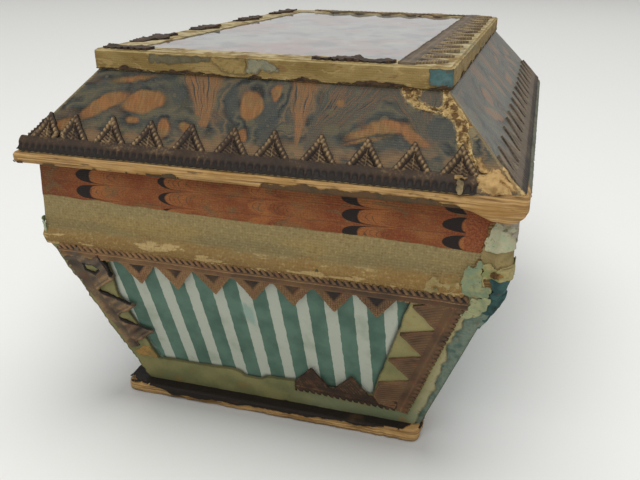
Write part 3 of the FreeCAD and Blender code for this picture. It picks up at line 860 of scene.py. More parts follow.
def gilt_finish(name, flat, heights, stain, far=None):
    """Pressed gilt paper gone brown, with rusty stains; far is its flat colour towards the right."""
    f = Finish(name)
    c = f.colours
    where = f.on_box()
    grime = f.noise(where, 7.0, 5.0)
    rust = f.noise(where, 3.2, 4.0)
    fine = f.noise(where, 0.6, 4.0)
    if far:
        flat = f.mix(f.rise(f.parts(where)[0], -34.0, 48.0), flat, far)
    flat = f.over(flat, f.rise(rust, 0.5, 0.66), 0.45, stain)
    worn = f.add(f.pressed(), f.swing(grime, 0.7))
    # Low parts of the pressed pattern take deep bronze: oxide in the recesses, and painted shade there as
    # well
    f.shade = f.mix(f.rise(worn, -0.05, 0.42), c.bronze_deep, flat)
    rubbed = f.rise(f.add(worn, f.swing(fine, 0.8)), 0.36, 1.12)
    f.coat(rubbed, 0.9, heights)
    f.feed(f.shader.inputs["Metallic"], f.times(rubbed, 0.3))
    return f.done(f.rise(f.add(fine, grime), -0.9, 2.0), fine, 0.1, 0.3)


def binding_finish(name, pale):
    f = Finish(name)
    c = f.colours
    where = f.on_box()
    u, v, _ = f.parts(f.on_sheet())
    clouds = f.noise(where, 9.0, 5.0, (1.4, 1.4, 0.7))
    grey = f.rise(f.noise(where, 12.0, 5.0, (1.5, 1.5, 0.5)), 0.56, 0.68)
    fine = f.noise(where, 0.5, 4.0)
    creases = f.noise(where, 2.6, 6.0, (1.5, 1.5, 0.6), 0.6)
    f.shade = f.mix(f.rise(clouds, 0.4, 0.66), c.binding, tint(118, 98, 56))
    f.coat(grey, 0.5, tint(108, 110, 90))
    f.coat(f.rise(creases, 0.58, 0.68), 0.55, c.wood_deep)
    f.coat(f.rise(creases, 0.42, 0.34), 0.35, c.torn)
    f.coat(f.rise(fine, 0.54, 0.7), 0.3, c.wood_deep)
    rubbed = f.fringe(creases, 0.9, 0.3, 0.0)
    f.coat(rubbed, 0.6, tint(182, 164, 118))
    # Painted light: with pale above 0 this coat makes a paler copy for the lap on top, where it faces up;
    # the edge round the plate takes none
    f.coat(f.rise(creases, 0.6, 0.4), pale, tint(196, 184, 148))
    ribs = f.times(f.weave(u, v), 0.2)
    return f.done(f.rise(fine, -1.2, 1.4), f.add(f.times(creases, 3.0), f.add(ribs, fine)), 0.09)


def torn_finish(name, shade, under, rim=None, grain=3.0):
    """Torn paper, with a rim of another colour where it is frayed."""
    f = Finish(name)
    where = f.on_box()
    fibre = f.noise(where, 1.2, 6.0, (1, 1, 1), 1.0)
    patches = f.noise(where, grain, 4.0)
    f.shade = f.mix(f.rise(patches, 0.42, 0.42 + 0.09 * grain), shade, under)
    f.coat(f.rise(fibre, 0.56, 0.72), 0.5, f.colours.wood_deep)
    threads = f.noise(where, 0.5, 4.0, (4.0, 4.0, 0.7))
    f.coat(f.rise(threads, 0.5, 0.7), 0.4, under)
    if rim:
        frayed = f.fringe(fibre, 0.9, 0.16, 0.04)
        f.coat(frayed, 0.55, rim)
    return f.done(f.rise(fibre, -1.2, 1.2), fibre, 0.3)


def print_finish():
    f = Finish("Faded print")
    c = f.colours
    where = f.on_box()
    clouds = f.noise(where, 26.0, 4.0)
    marks = f.noise(where, 8.0, 5.0, (1, 1.6, 1))
    fine = f.noise(where, 0.8, 3.0)
    f.shade = f.mix(f.rise(clouds, 0.45, 0.62), c.print_paper, tint(204, 178, 170))
    f.coat(f.rise(marks, 0.48, 0.64), 0.6, tint(146, 154, 156))
    f.coat(f.rise(marks, 0.42, 0.34), 0.5, tint(226, 224, 214))
    return f.done(f.rise(fine, -1.6, 1.4), fine, 0.03)


def glass_finish():
    f = Finish("Old window glass")
    where = f.on_box()
    dust = f.noise(where, 14.0, 5.0)
    ripple = f.noise(where, 30.0, 1.0)
    f.shader.inputs["Transmission Weight"].default_value = 1.0
    f.shader.inputs["IOR"].default_value = 1.5
    lamps = f.node("ShaderNodeLightPath").outputs["Is Shadow Ray"]
    clear = f.node("ShaderNodeBsdfTransparent").outputs[0]
    pane = f.node("ShaderNodeMixShader", {0: lamps, 1: f.shader.outputs[0], 2: clear}).outputs[0]
    f.links.new(pane, f.nodes["Material Output"].inputs["Surface"])
    f.shade = tint(244, 248, 246)
    return f.done(f.times(f.rise(dust, 0.4, 0.8), 0.12), ripple, 0.05, 0.5)


def lining_finish():
    f = Finish("Plain lining paper")
    c = f.colours
    where = f.on_box()
    clouds = f.noise(where, 40.0, 4.0)
    foxing = f.rise(f.noise(where, 3.0, 4.0), 0.66, 0.74)
    fine = f.noise(where, 0.6, 4.0)
    f.shade = f.mix(f.rise(clouds, 0.3, 0.8), c.lining, tint(164, 150, 120))
    f.coat(foxing, 0.22, c.ochre)
    return f.done(f.rise(fine, -1.5, 1.3), fine, 0.05)


def brass_finish():
    f = Finish("Tarnished brass")
    c = f.colours
    where = f.on_box()
    tarnish = f.noise(where, 2.5, 5.0)
    f.shade = f.mix(f.rise(tarnish, 0.4, 0.68), c.brass, c.bronze)
    f.shader.inputs["Metallic"].default_value = 1.0
    return f.done(f.rise(tarnish, -0.2, 1.4), tarnish, 0.05, 0.5)


def floor_finish(half, front, fade, start):
    """Pale table with a painted shadow before the box: from start on, deepest at front, fading past its half
    width.
    """
    f = Finish("Pale table")
    where = f.on_box()
    fine = f.noise(where, 40.0, 3.0)
    x, y, _ = f.parts(where)
    across = f.math("MAXIMUM", f.add(f.math("ABSOLUTE", f.add(x, -BASE_OFF)), -half), 0.0)
    before = f.math("MAXIMUM", f.add(f.times(y, -1.0), front), 0.0)
    away = f.math("SQRT", f.add(f.times(across, across), f.times(before, before)))
    # Painted shadow: darkest along the front of the base, fading with distance from it
    painted_shadow = f.times(f.math("EXPONENT", f.times(away, -1 / fade)), f.rise(y, start, front))
    f.shade = f.over(f.colours.floor, painted_shadow, 0.5, tint(56, 53, 48))
    return f.done(f.rise(fine, -2.0, 1.5), fine, 0.02)


# Pressed trim


def ridge(value, place, width):
    return np.exp(-((value - place) / width) ** 2)


def strip_outline(low, high, teeth, rise, width, flank, lean):
    """Outline of a strip from s = low to high; flank is how wide a tooth is halfway up, 0.5 if straight."""
    trim = settings().casket_trim
    band, half = mm(trim.band), width / 2
    points = [(low, 0.0), (high, 0.0), (high, band)]
    for s in reversed(teeth):
        middle = s + lean / 2
        points += [(s + half, band), (middle + half * flank, band + rise / 2), (s + lean, band + rise),
                   (middle - half * flank, band + rise / 2), (s - half, band)]
    return points + [(low, band)]


def roped_tooth(x, y, depth):
    """Two legs of twisted rope, a thin stem between them and a hatched ground on one side of it."""
    twist = mm(settings().casket_trim.twist)
    turns = 2 * math.pi * y / twist + 5.0 * (depth - 1.0)
    legs = ridge(depth, 0.75, 0.8) * (0.8 + 0.22 * np.cos(turns))
    stem = 0.95 * ridge(x, 0.2, 0.22) * (depth > 1.5)
    hatch = 0.6 + 0.2 * np.cos((x * 0.6 + y) * 2 * math.pi / 0.9)
    return np.maximum.reduce([legs, stem, hatch * (depth > 2.0)])


def lined_tooth(x, y, depth):
    """Two broad stippled legs with a raised rim, around a small dark hollow."""
    dots = np.cos((x + y) * 2 * math.pi / 1.3) * np.cos((x - y) * 2 * math.pi / 1.3)
    legs = (0.55 + 0.42 * dots) * np.clip((2.8 - depth) / 0.9, 0.1, 1)
    rims = np.maximum(0.7 * ridge(depth, 0.2, 0.3), 0.62 * ridge(depth, 1.75, 0.2))
    return np.maximum(legs, rims)


def plain_tooth(x, y, depth):
    """Faint slanting lines on a rubbed ground."""
    lines = 0.4 + 0.16 * np.cos((x * 0.8 + y * 0.6) * 2 * math.pi / 0.9)
    return np.maximum(lines, 0.55 * ridge(depth, 0.4, 0.3))


def hooked_tooth(x, y, depth):
    """Folded tooth with a dark upper edge and a rubbed lower one."""
    folds = 0.45 + 0.22 * np.cos((x * 0.9 + y * 0.35) * 2 * math.pi / 2.8)
    rubbed = 0.85 * ridge(depth, 0.7, 0.5) * (x > 0.8)
    return np.where((depth < 0.6) & (x < 0.8), -0.2, np.maximum(folds, rubbed))


def faded_edge(s, t):
    """Rubbed band, paler towards its foot."""
    return 0.35 + 0.5 * np.clip((s - 15.0) / 8.0, 0, 1) * np.clip((3.5 - t) / 2.0, 0, 1)


def pitted_edge(s, t):
    """Half-round band with a row of pits along its foot and a fine raised line along its head."""
    trim = settings().casket_trim
    bead, band = mm(trim.bead), mm(trim.band)
    off = (np.mod(s / bead, 1.0) - 0.5) * bead
    pits = ridge(off, 0.0, 0.62) * ridge(t, 1.5, 0.75)
    # The roll falls to nothing below its foot, so the gilt finish paints the band's lowest edge deep bronze:
    # a painted shadow where the band meets the lid board
    roll = 0.45 * np.clip((t - 0.75 - 0.3 * np.cos(2 * math.pi * off / bead)) / 0.6, 0, 1)
    return np.maximum(roll - 0.9 * pits, 0.6 * ridge(t, band - 0.3, 0.24))


def plain_edge(s, t):
    """Rubbed band with a trace of the notches."""
    bead = mm(settings().casket_trim.bead)
    notches = 0.1 * np.cos(2 * math.pi * (s + 0.55 * t) / bead) * (t < 1.6)
    return 0.3 + notches + 0.18 * ridge(t, 2.5, 0.3)


def sawn_edge(s, t):
    """Slanting notches above a thin raised line."""
    trim = settings().casket_trim
    bead, band = mm(trim.bead), mm(trim.band)
    slant = np.mod((s + 0.55 * t) / bead, 1.0)
    tooth = np.clip((slant - 0.38) / 0.1, 0, 1) * np.clip((1.0 - slant) / 0.1, 0, 1)
    return np.maximum.reduce([0.66 * tooth * (t < 1.75), 0.9 * ridge(t, 2.5, 0.24),
                              0.3 * (t > 1.75), 0.6 * ridge(t, band - 0.2, 0.25)])


def pressing(inside, teeth, rise, seed, tooth, edge, relief, curl, crumple):
    """Lift and pattern of a strip at (s, t)."""
    trim = settings().casket_trim
    band, sheet = mm(trim.band), mm(trim.sheet)
    lifts = np.random.default_rng(seed).uniform(0.0, 1.0, len(teeth)) * curl

    def at(s, t):
        nearest = np.argmin(np.abs(s[:, None] - np.array(teeth)[None, :]), axis=1)
        x, y = s - np.array(teeth)[nearest], t - band
        pattern = np.where(y < 0, edge(s, t), tooth(x, y, inside(s, t)))
        tips = np.clip(y / rise, 0, 1) ** 2 * lifts[nearest]
        folds = crumple * (1.0 - 2.2 * np.abs(rough(s, t, 6.5, seed + 1, 2)))
        waves = np.maximum(0.12 * rough(s, t, 9.0, seed) + folds, -0.7 * sheet)
        pattern = pattern * (0.88 + 0.22 * rough(s, t, 5.0, seed + 2))
        return sheet + relief * pattern + tips + waves, pattern + 0.35 * folds

    return at


def pressed_strip(low, high, teeth, seed, tooth=roped_tooth, edge=pitted_edge, relief=None, rise=None,
                  width=None, flank=0.5, curl=0.4, crumple=0.0, torn=0.2, clip=None, lean=0.0,
                  more=None, hole=None):
    """One strip in its own coordinates, cut and pressed; more is added to it and hole is missing."""
    trim = settings().casket_trim
    rise = rise or mm(trim.rise)
    points = strip_outline(low, high, teeth, rise, width or mm(trim.width), flank, lean)
    whole = both(polygon(points), clip) if clip else polygon(points)
    if more:
        whole = joined(whole, polygon(more))
    if hole:
        whole = without(whole, polygon(hole))
    bead = mm(trim.bead)
    if edge is not pitted_edge:
        notch = lambda s, t: t - 0.95 * np.clip(1.5 - 3.2 * np.mod(s / bead, 1.0), 0, 1)
    else:
        notch = lambda s, t: t - 0.3 * (0.5 - 0.5 * np.cos(2 * math.pi * s / bead))
    strip = Sheet(*box_of(points + (more or []), 0.5), mm(trim.step))
    strip.cut(both(ragged(whole, torn * 0.5, 2.2, seed), notch))
    strip.press(pressing(whole, teeth, rise, seed, tooth, edge, relief or mm(trim.rope), curl, crumple))
    return strip.close(0.0)


def spaced(first, count, pitch):
    return [first + pitch * i for i in range(count)]


def centred(half_length, tip_half):
    """Evenly pitched teeth centred on a strip, as many as its length and its tips leave room for."""
    trim = settings().casket_trim
    pitch, width = mm(trim.pitch), mm(trim.width)
    room = min(2 * half_length, 2 * tip_half + width)
    count = max(1, int((room - width) // pitch) + 1)
    return spaced(-(count - 1) / 2 * pitch, count, pitch)


def lifted(place, lift):
    """The same frame, raised off its face."""
    return lambda flat: place(flat + np.array([0.0, 0.0, lift]))


# Operators


class CASKET_OT_boards(bpy.types.Operator):
    """Worn edges on the base board and the lid board, and a wood finish on every board"""
    bl_idname = "casket.boards"
    bl_label = "Boards"

    REACH = 2.6
    CORNER = 1.5
    ROUND = 0.7
    STEP = 0.45
    DENT = 5.0
    ROUND_TRIP = 6.3
    SPLIT_AT = -97.0
    SPLIT_REACH = 11.0
    SAG = [(53.0, 0.0), (56.6, -0.8), (61.7, -3.4), (64.9, -4.0), (67.3, -3.4), (69.5, -1.2)]
    SWELL = [(55.0, 0.0), (63.0, 1.0), (67.0, 1.9), (70.0, 1.9)]
    LEFT_OVER = [(-90, 0.8), (-69, 0.3), (-62, 0.9), (-60, 0.4), (-40, 0.5), (-30, 0.4), (-24, 0.7),
                 (-22, 1.6), (-18.6, 1.4), (-18, -0.6), (3, -0.6), (4, 1.3), (10, 1.6), (14, 2.1), (20, 1.5),
                 (26, 1.7), (30, 2.0), (40, 1.6), (47, 1.9), (53, 1.3), (57, -0.8), (90, 0.6)]
    BARE_AT = 70.0
    BARE_HALF = 12.0

    def ring(self, low, high, wear, seed, corner, off=0.0, droop=None):
        """A board whose edge is worn: a ring along the edge, closed by flat faces above and below."""
        z0, z1 = low[2], high[2]
        girth = 2 * self.REACH + (z1 - z0)
        marks = [0.0, self.REACH - self.ROUND, self.REACH + self.ROUND,
                 girth - self.REACH - self.ROUND, girth - self.REACH + self.ROUND, girth]
        outs = [-self.REACH, -self.ROUND, 0, 0, -self.ROUND, -self.REACH]
        heights = [z0, z0, z0 + self.ROUND, z1 - self.ROUND, z1, z1]
        wrap = Wrap(low, corner, profile(marks, outs, heights), off)
        sheet = Sheet((0.0, wrap.length), (0.0, girth), self.STEP)
        flat = sheet.flat()
        edge = np.clip(np.minimum(flat[:, 1], girth - flat[:, 1]) / self.REACH, 0, 1)
        turn = flat[:, 0] / wrap.length * 2 * math.pi
        around = np.cos(turn) * wrap.length / self.ROUND_TRIP
        onward = np.sin(turn) * wrap.length / self.ROUND_TRIP + flat[:, 1]
        flat[:, 2] = -wear * np.abs(rough(around, onward, self.DENT, seed)) * edge
        places = wrap.place(flat)
        if droop:
            places = droop(places / MM, edge) * MM
        sheet.move(places)
        bm = sheet.bm
        bmesh.ops.remove_doubles(bm, verts=bm.verts, dist=10 * WELD)
        middle = (z0 + z1) / 2 * MM
        for above in (False, True):
            rim = [e for e in bm.edges if e.is_boundary and (e.verts[0].co.z > middle) == above]
            bmesh.ops.triangle_fill(bm, edges=rim, use_beauty=False)
        return bm

    def split_corner(self, places, edge):
        """The front right corner of the lid board, swollen and hanging."""
        x, y, z = places.T
        near = edge * ridge(y, self.SPLIT_AT, self.SPLIT_REACH)
        low = np.clip((LID_HIGH[2] - z) / (LID_HIGH[2] - LID_LOW[2]), 0, 1)
        out = places.copy()
        out[:, 2] += near * (graph(x, self.SAG) * low + graph(x, self.SWELL) * (1 - low))
        return out

    def execute(self, context):
        wood = wood_finish()
        base = self.ring(BASE_LOW, BASE_HIGH, 0.5, 3, BASE_CORNER, BASE_OFF)
        finished(base, "base_board_worn", wood, "body", ["base_board"])
        lid = self.ring(LID_LOW, LID_HIGH, 0.3, 8, self.CORNER, droop=self.split_corner)
        finished(lid, "lid_board_worn", wood, "lid", ["lid_board"])
        self.edge_paper()
        for side in SIDES:
            for kind in ("lower_wall", "upper_wall", "lid_slope"):
                dress(f"{kind}_{side}", wood)
        dress("lid_top_board", wood)
        return {"FINISHED"}

    def edge_paper(self):
        """What is left of the dark paper along the lower part of the lid board's edge."""
        z0, thick = LID_LOW[2], LID_HIGH[2] - LID_LOW[2]
        tucked = lambda v: (0.05 - 0.55 * np.clip((0.5 - v) / 0.5, 0, 1), z0 - 0.06 + v)
        wrap = Wrap(LID_LOW, self.CORNER, tucked)
        half = wrap.length / 2

        def left_over(u, v):
            height = graph(u, self.LEFT_OVER) - 0.2 + 0.4 * rough(u, 0 * u, 9.0, 15)
            height = height + 0.4 * rough(u, v * 0.4, 2.6, 16)
            clear = np.abs(u - self.BARE_AT) - self.BARE_HALF
            return np.minimum.reduce([height - v, clear, np.minimum(u + half, half - u) + SEAM, v + SEAM])

        sheet = Sheet((-half, half), (0.0, thick), FINE).cut(left_over)
        sheet.lift(uneven(0.12, 0.1, 2.0, 17)).thicken(0.12)
        remnant = torn_finish("Dark edge paper", tint(88, 66, 44), tint(70, 60, 44))
        sheet.piece("lid_edge_paper", wrap.place, remnant, "lid", "black_paper")
        z1 = LID_HIGH[2]
        heights = [z1 - 1.7, z1 - 0.8, z1 + 0.06, z1 + 0.06]
        ledge = Wrap(LID_LOW, self.CORNER, profile([0.0, 0.9, 1.7, 3.4], [0.08, 0.08, -0.5, -2.2], heights))
        start, end = LID_LOW[0] + 9.0, LID_LOW[0] + 2 * LID_LOW[1] - 6.0
        points = [(start, 0.7), (end, 0.7), (end, 3.3), (start, 3.3)]
        lap = scrap(points, FINE, (0.4, 3.0, 20), (0.16, 0.06, 2.0, 22)).thicken(0.12)
        grey = torn_finish("Grey ledge paper", tint(104, 106, 92), tint(84, 84, 70))
        lap.piece("lid_ledge_paper_right", ledge.place, grey, "lid", "slate_marbled_paper")


class CASKET_OT_base_paper(bpy.types.Operator):
    """Black paper over the base board's margin and the upper part of its edge, torn along the foot"""
    bl_idname = "casket.base_paper"
    bl_label = "Base paper"

    REACH = 0.75
    TUCK = 0.7
    SKIRT = 2.9
    COVERS = [(-90.0, 1.7), (-60.0, 1.4), (-49.4, -0.4), (-44.0, 0.2), (-37.0, 1.2), (-33.7, 2.3),
              (-26.7, 1.8), (-23.2, 2.7), (-21.0, 2.5), (-18.4, 1.9), (-5.8, 1.6), (8.2, 1.4), (22.0, 0.8),
              (29.0, 1.2), (36.0, 0.1), (49.4, -0.6), (58.0, 0.4), (72.0, 1.7)]
    BARE_CORNER = [(37.0, -80.0), (50.0, -80.0), (50.0, -66.0), (45.6, -69.0), (44.0, -74.6)]
    LEFT_CORNER = [(-54.0, -80.0), (-47.0, -80.0), (-48.6, -77.0), (-51.0, -75.4), (-54.0, -74.0)]

    def execute(self, context):
        hx, hy, top = BASE_HIGH
        black = black_paper_finish()
        girth = self.SKIRT + self.REACH
        heights = [top - self.SKIRT - 0.2, top - 0.2, top + 0.12, top + 0.12]
        turned = profile([0.0, self.SKIRT, self.SKIRT + 0.7, girth], [0.1, 0.1, -0.35, -self.REACH], heights)
        wrap = Wrap(BASE_HIGH, BASE_CORNER, turned, BASE_OFF)

        def tear(u, v):
            along = np.mod(u + wrap.length / 2, wrap.length) - wrap.length / 2
            worn = 0.35 * rough(u, v * 0.3, 3.0, 5) + 0.25 * rough(u, v * 0.2, 9.0, 6)
            return v - (self.SKIRT + 0.2 - graph(along, self.COVERS)) - worn

        ends = lambda u, v: np.minimum.reduce([u + SEAM, wrap.length + SEAM - u, girth + SEAM - v])
        sheet = Sheet((0.0, wrap.length), (0.0, girth), FINE).cut(both(tear, ends), tear)
        sheet.lift(uneven(0.2, 0.08, 2.0, 7)).thicken(0.18)
        sheet.piece("base_paper_torn", wrap.place, black, "body", "black_paper", ["base_paper"])
        outer = polygon([(u + BASE_OFF, v) for u, v in rectangle(hx - 0.5, hy - 0.5)])
        foot = polygon(rectangle(FOOT[0] - self.TUCK, FOOT[1] - self.TUCK))
        bare = ragged(polygon(self.BARE_CORNER), 0.6, 2.5, 10)
        bare = joined(bare, ragged(polygon(self.LEFT_CORNER), 0.5, 2.5, 26))
        margin = Sheet((BASE_OFF - hx, BASE_OFF + hx), (-hy, hy), 0.7)
        margin.cut(without(without(outer, foot), bare), lambda u, v: -bare(u, v))
        margin.lift(uneven(top + 0.26, 0.04, 4.0, 9)).thicken(0.2)
        margin.piece("base_paper_margin", lambda flat: flat * MM, black, "body", "black_paper")
        return {"FINISHED"}


class CASKET_OT_window_cards(bpy.types.Operator):
    """Cream cards with a window on the two ends, and the striped paper behind each window"""
    bl_idname = "casket.window_cards"
    bl_label = "Window cards"

    FRONT_WINDOW = [(-39.5, 11.2), (-34.0, 11.5), (-29.0, 11.3), (-21.0, 11.7), (-13.5, 11.9), (-11.2, 11.2),
                    (-9.6, 9.6), (-4.2, 9.4), (-2.6, 11.0), (7.0, 11.6), (14.0, 11.0), (31.4, 11.0),
                    (43.1, 53.0), (-46.5, 53.0), (-46.8, 38.5), (-41.0, 16.0)]
    FRONT_CARD = [(-45.6, 0.2), (44.6, 0.2), (46.2, 6.8), (48.4, 12.8), (50.0, 17.8), (50.8, 22.8),
                  (52.6, 29.8), (53.4, 37.8), (54.2, 40.0), (57.4, 48.3), (58.6, 51.8), (61.0, 57.8),
                  (62.4, 59.3), (-64.7, 59.3)]
    BACK_WINDOW = [(-33.9, 11.2), (33.9, 11.2), (47.4, 53.0), (-47.4, 53.0)]
    GLUE = [(-47.4, 13.6), (-45.0, 15.6), (-42.0, 16.6), (-40.2, 15.0), (-40.2, 12.0), (-42.8, 11.4),
            (-46.4, 11.8)]
    STRIPE_FIRST = -38.7
    STRIPE_PITCH = 8.48
    FOOT_SHIFT = 3.2
    FOOT_PITCH = 8.2
    STRIPE_SPAN = (10.5, 51.5)

    def execute(self, context):
        papers = settings().casket_papers
        card = card_finish()
        low, high = mm(papers.card_low), mm(papers.card_low) + mm(papers.card)
        stripes = striped_finish(self.STRIPE_FIRST, self.STRIPE_PITCH, self.FOOT_SHIFT, self.FOOT_PITCH,
                                 *self.STRIPE_SPAN)
        back_card = lower_face("back").outline(0.2, 0.1, 0.4)
        for side, points, window, tear in (("front", self.FRONT_CARD, self.FRONT_WINDOW, 0.5),
                                           ("back", back_card, self.BACK_WINDOW, 0.2)):
            face = lower_face(side)
            shape = without(ragged(polygon(points), tear, 3.0, 11), ragged(polygon(window), 0.15, 4.0, 12))
            sheet = Sheet(*box_of(points), mm(papers.step)).cut(shape)
            sheet.lift(uneven(high, 0.12, 12.0, 13))
            sheet.thicken(high - low)
            sheet.piece(f"card_frame_{side}_cut", face.place, card, "body", "cream_card",
                        [f"card_frame_{side}"])
            panel = Sheet(*box_of(window, 3.0), 0.8).cut(lambda u, v: polygon(window)(u, v) + 1.8)
            panel.lift(uneven(0.2, 0.04, 10.0, 14)).close()
            panel.piece(f"striped_paper_{side}", face.place, stripes, "body", "striped_paper",
                        [f"striped_panel_{side}"])
        self.glue_stain(high)
        return {"FINISHED"}

    def glue_stain(self, lift):
        """Ochre scrap left where the end of a trim strip has gone."""
        stuck = scrap(self.GLUE, FINE, (0.5, 2.0, 18), (0.25, 0.1, 2.0, 19)).close(0.0)
        stain = torn_finish("Glue-stained scrap", tint(150, 116, 64), tint(122, 104, 64))
        stuck.piece("trim_glue_scrap", lifted(lower_face("front").place, lift), stain, "body", "cream_card")


class CASKET_OT_side_papers(bpy.types.Operator):
    """Teal papers on the long sides, turned a little way onto the ends"""
    bl_idname = "casket.side_papers"
    bl_label = "Side papers"

    TURN = 11.0
    BRINKS = ([(58.8, 59.3), (66.6, 59.3), (64.8, 54.4), (63.4, 51.0), (59.6, 52.2), (57.8, 53.4)],
              [(63.6, 51.8), (62.5, 48.6), (60.9, 45.6), (60.0, 47.4), (58.4, 50.2), (59.0, 53.0)])
    BULGE = [(-92.3, 59.2), (-84.5, 59.2), (-83.0, 53.0), (-85.0, 46.5), (-87.8, 45.4), (-90.2, 52.6)]
    FOLD = [(45.5, 0.3), (50.0, 1.0), (55.0, 1.7), (59.2, 1.9)]

    def execute(self, context):
        papers = settings().casket_papers
        teal = teal_finish()
        c = settings().casket_colours
        rubbed = torn_finish("Rubbed teal paper", c.teal_grey, tint(72, 92, 82))
        fresh = torn_finish("Unfaded teal paper", tint(52, 82, 80), tint(40, 60, 58))
        for side in ("left", "right"):
            face = lower_face(side)
            sheet = Sheet(*box_of(face.outline()), 1.2).cut(polygon(face.outline(0.15, 0.1, 0.0)))
            sheet.lift(uneven(mm(papers.paper), 0.05, 8.0, 21)).close()
            sheet.piece(f"side_paper_{side}_worn", face.place, teal, "body", "teal_paper",
                        [f"side_paper_{side}"])
        for end in ("front", "back"):
            face = lower_face(end)
            for hand, name in ((-1, "left"), (1, "right")):
                low, high = face.half_at(0.2) - 0.1, face.half_at(face.height - 0.2) - 0.1
                points = [(hand * low, 0.2), (hand * high, face.height - 0.2),
                          (hand * (high - self.TURN), face.height - 0.2), (hand * (low - self.TURN), 0.2)]
                turn = scrap(points, 0.8, (0.05, 3.0, 23), (0.24, 0.05, 3.0, 24)).close()
                turn.piece(f"side_paper_turn_{end}_{name}", face.place, rubbed, "body", "teal_paper")
        front = lower_face("front").place
        for number, (brink, finish) in enumerate(zip(self.BRINKS, (fresh, rubbed)), 1):
            strip = scrap(brink, FINE, (0.3, 2.0, 25), (0.6 - 0.1 * number, 0.08, 2.0, 27)).close(0.1)
            strip.piece(f"side_paper_turn_corner_{number}", front, finish, "body", "teal_paper")
        strip = Sheet(*box_of(self.BULGE), FINE).cut(ragged(polygon(self.BULGE), 0.2, 2.0, 28))
        near = lambda u: np.clip((-83.0 - u) / 6.0, 0, 1)
        raised = lambda u, v: 0.35 + graph(v, self.FOLD) * near(u) + 0.06 * rough(u, v, 2.0, 29)
        strip.lift(raised).close(0.1)
        strip.piece("side_paper_fold", lower_face("right").place, fresh, "body", "teal_paper")
        return {"FINISHED"}


class CASKET_OT_bands(bpy.types.Operator):
    """Cream band folded over the waist and red marbled band under the lid"""
    bl_idname = "casket.bands"
    bl_label = "Paper bands"

    BLOT_FIRST = -46.6
    BLOT_PITCH = 25.9
    ROW = 4.6
    TORN_CORNER = [(56.6, -4.0), (56.4, 3.0), (58.6, 6.4), (60.4, 9.0), (72.0, 11.5), (74.0, 4.0),
                   (72.0, -4.0)]
    TORN_TOP = [(60.2, 8.0), (60.4, 13.0), (61.6, 17.5), (64.5, 19.8), (73.0, 18.0), (73.0, 8.0)]
    MEETING = [(-75.0, 10.9), (-62.0, 12.2), (-25.0, 11.4), (0.0, 10.8), (35.0, 10.7), (58.0, 9.9),
               (75.0, 10.9)]

    def execute(self, context):
        papers = settings().casket_papers
        wrap = Wrap(WAIST, mm(papers.corner), waist_profile)
        top = math.hypot(RIM[2] - WAIST[2], RIM[0] - WAIST[0]) - 0.35
        cream, fold, half = mm(papers.cream_top), mm(papers.fold), wrap.length / 2
        card = mm(papers.card_low) + mm(papers.card)
        lean = (WAIST[0] - FOOT[0]) / (WAIST[2] - FOOT[2])
        over = (card + 0.4) * math.hypot(1, lean)
        meeting = lambda u: graph(u, self.MEETING) - self.MEETING[0][1] + cream

        def over_card(u, v):
            rest = 0.25 + 0.05 * rough(u, v, 6.0, 31)
            bulge = np.clip((2.4 - v) / 2.4, 0, 1)
            bulge = bulge * bulge * (3 - 2 * bulge)
            return rest + (over + 0.08 * rough(u, v, 5.0, 36) - rest) * bulge

        ends = lambda u, v: np.minimum(u + half, half - u) + 0.001

        def cream_shape(u, v):
            lower = v + fold - 0.4 + 0.35 * rough(u, v * 0.4, 5.0, 32)
            kept = np.minimum.reduce([lower, meeting(u) + 0.3 - v, ends(u, v)])
            return np.minimum(kept, -polygon(self.TORN_CORNER)(u, v) + 0.5 * rough(u, v, 2.5, 33))

        sheet = Sheet((-half, half), (-fold - 0.6, cream + 2.2), 0.6).cut(cream_shape)
        sheet.lift(over_card).thicken(0.18)
        sheet.piece("cream_band_folded", wrap.place, cream_band_finish(), "body", "cream_paper",
                    ["cream_band"])

        def red_shape(u, v):
            lower = v - meeting(u) + 0.18 * rough(u, v * 0.3, 6.0, 34)
            kept = np.minimum.reduce([lower, top + 0.001 - v, ends(u, v)])
            return np.minimum(kept, -polygon(self.TORN_TOP)(u, v) + 0.4 * rough(u, v, 2.5, 37))

        red = Sheet((-half, half), (cream - 1.6, top), 0.7).cut(red_shape)
        red.lift(uneven(0.36, 0.04, 7.0, 35)).thicken(0.25)
        finish = red_marbled_finish(self.BLOT_FIRST, self.BLOT_PITCH, self.ROW)
        red.piece("red_band", wrap.place, finish, "body", "red_marbled_paper", ["red_marbled_band"])
        return {"FINISHED"}


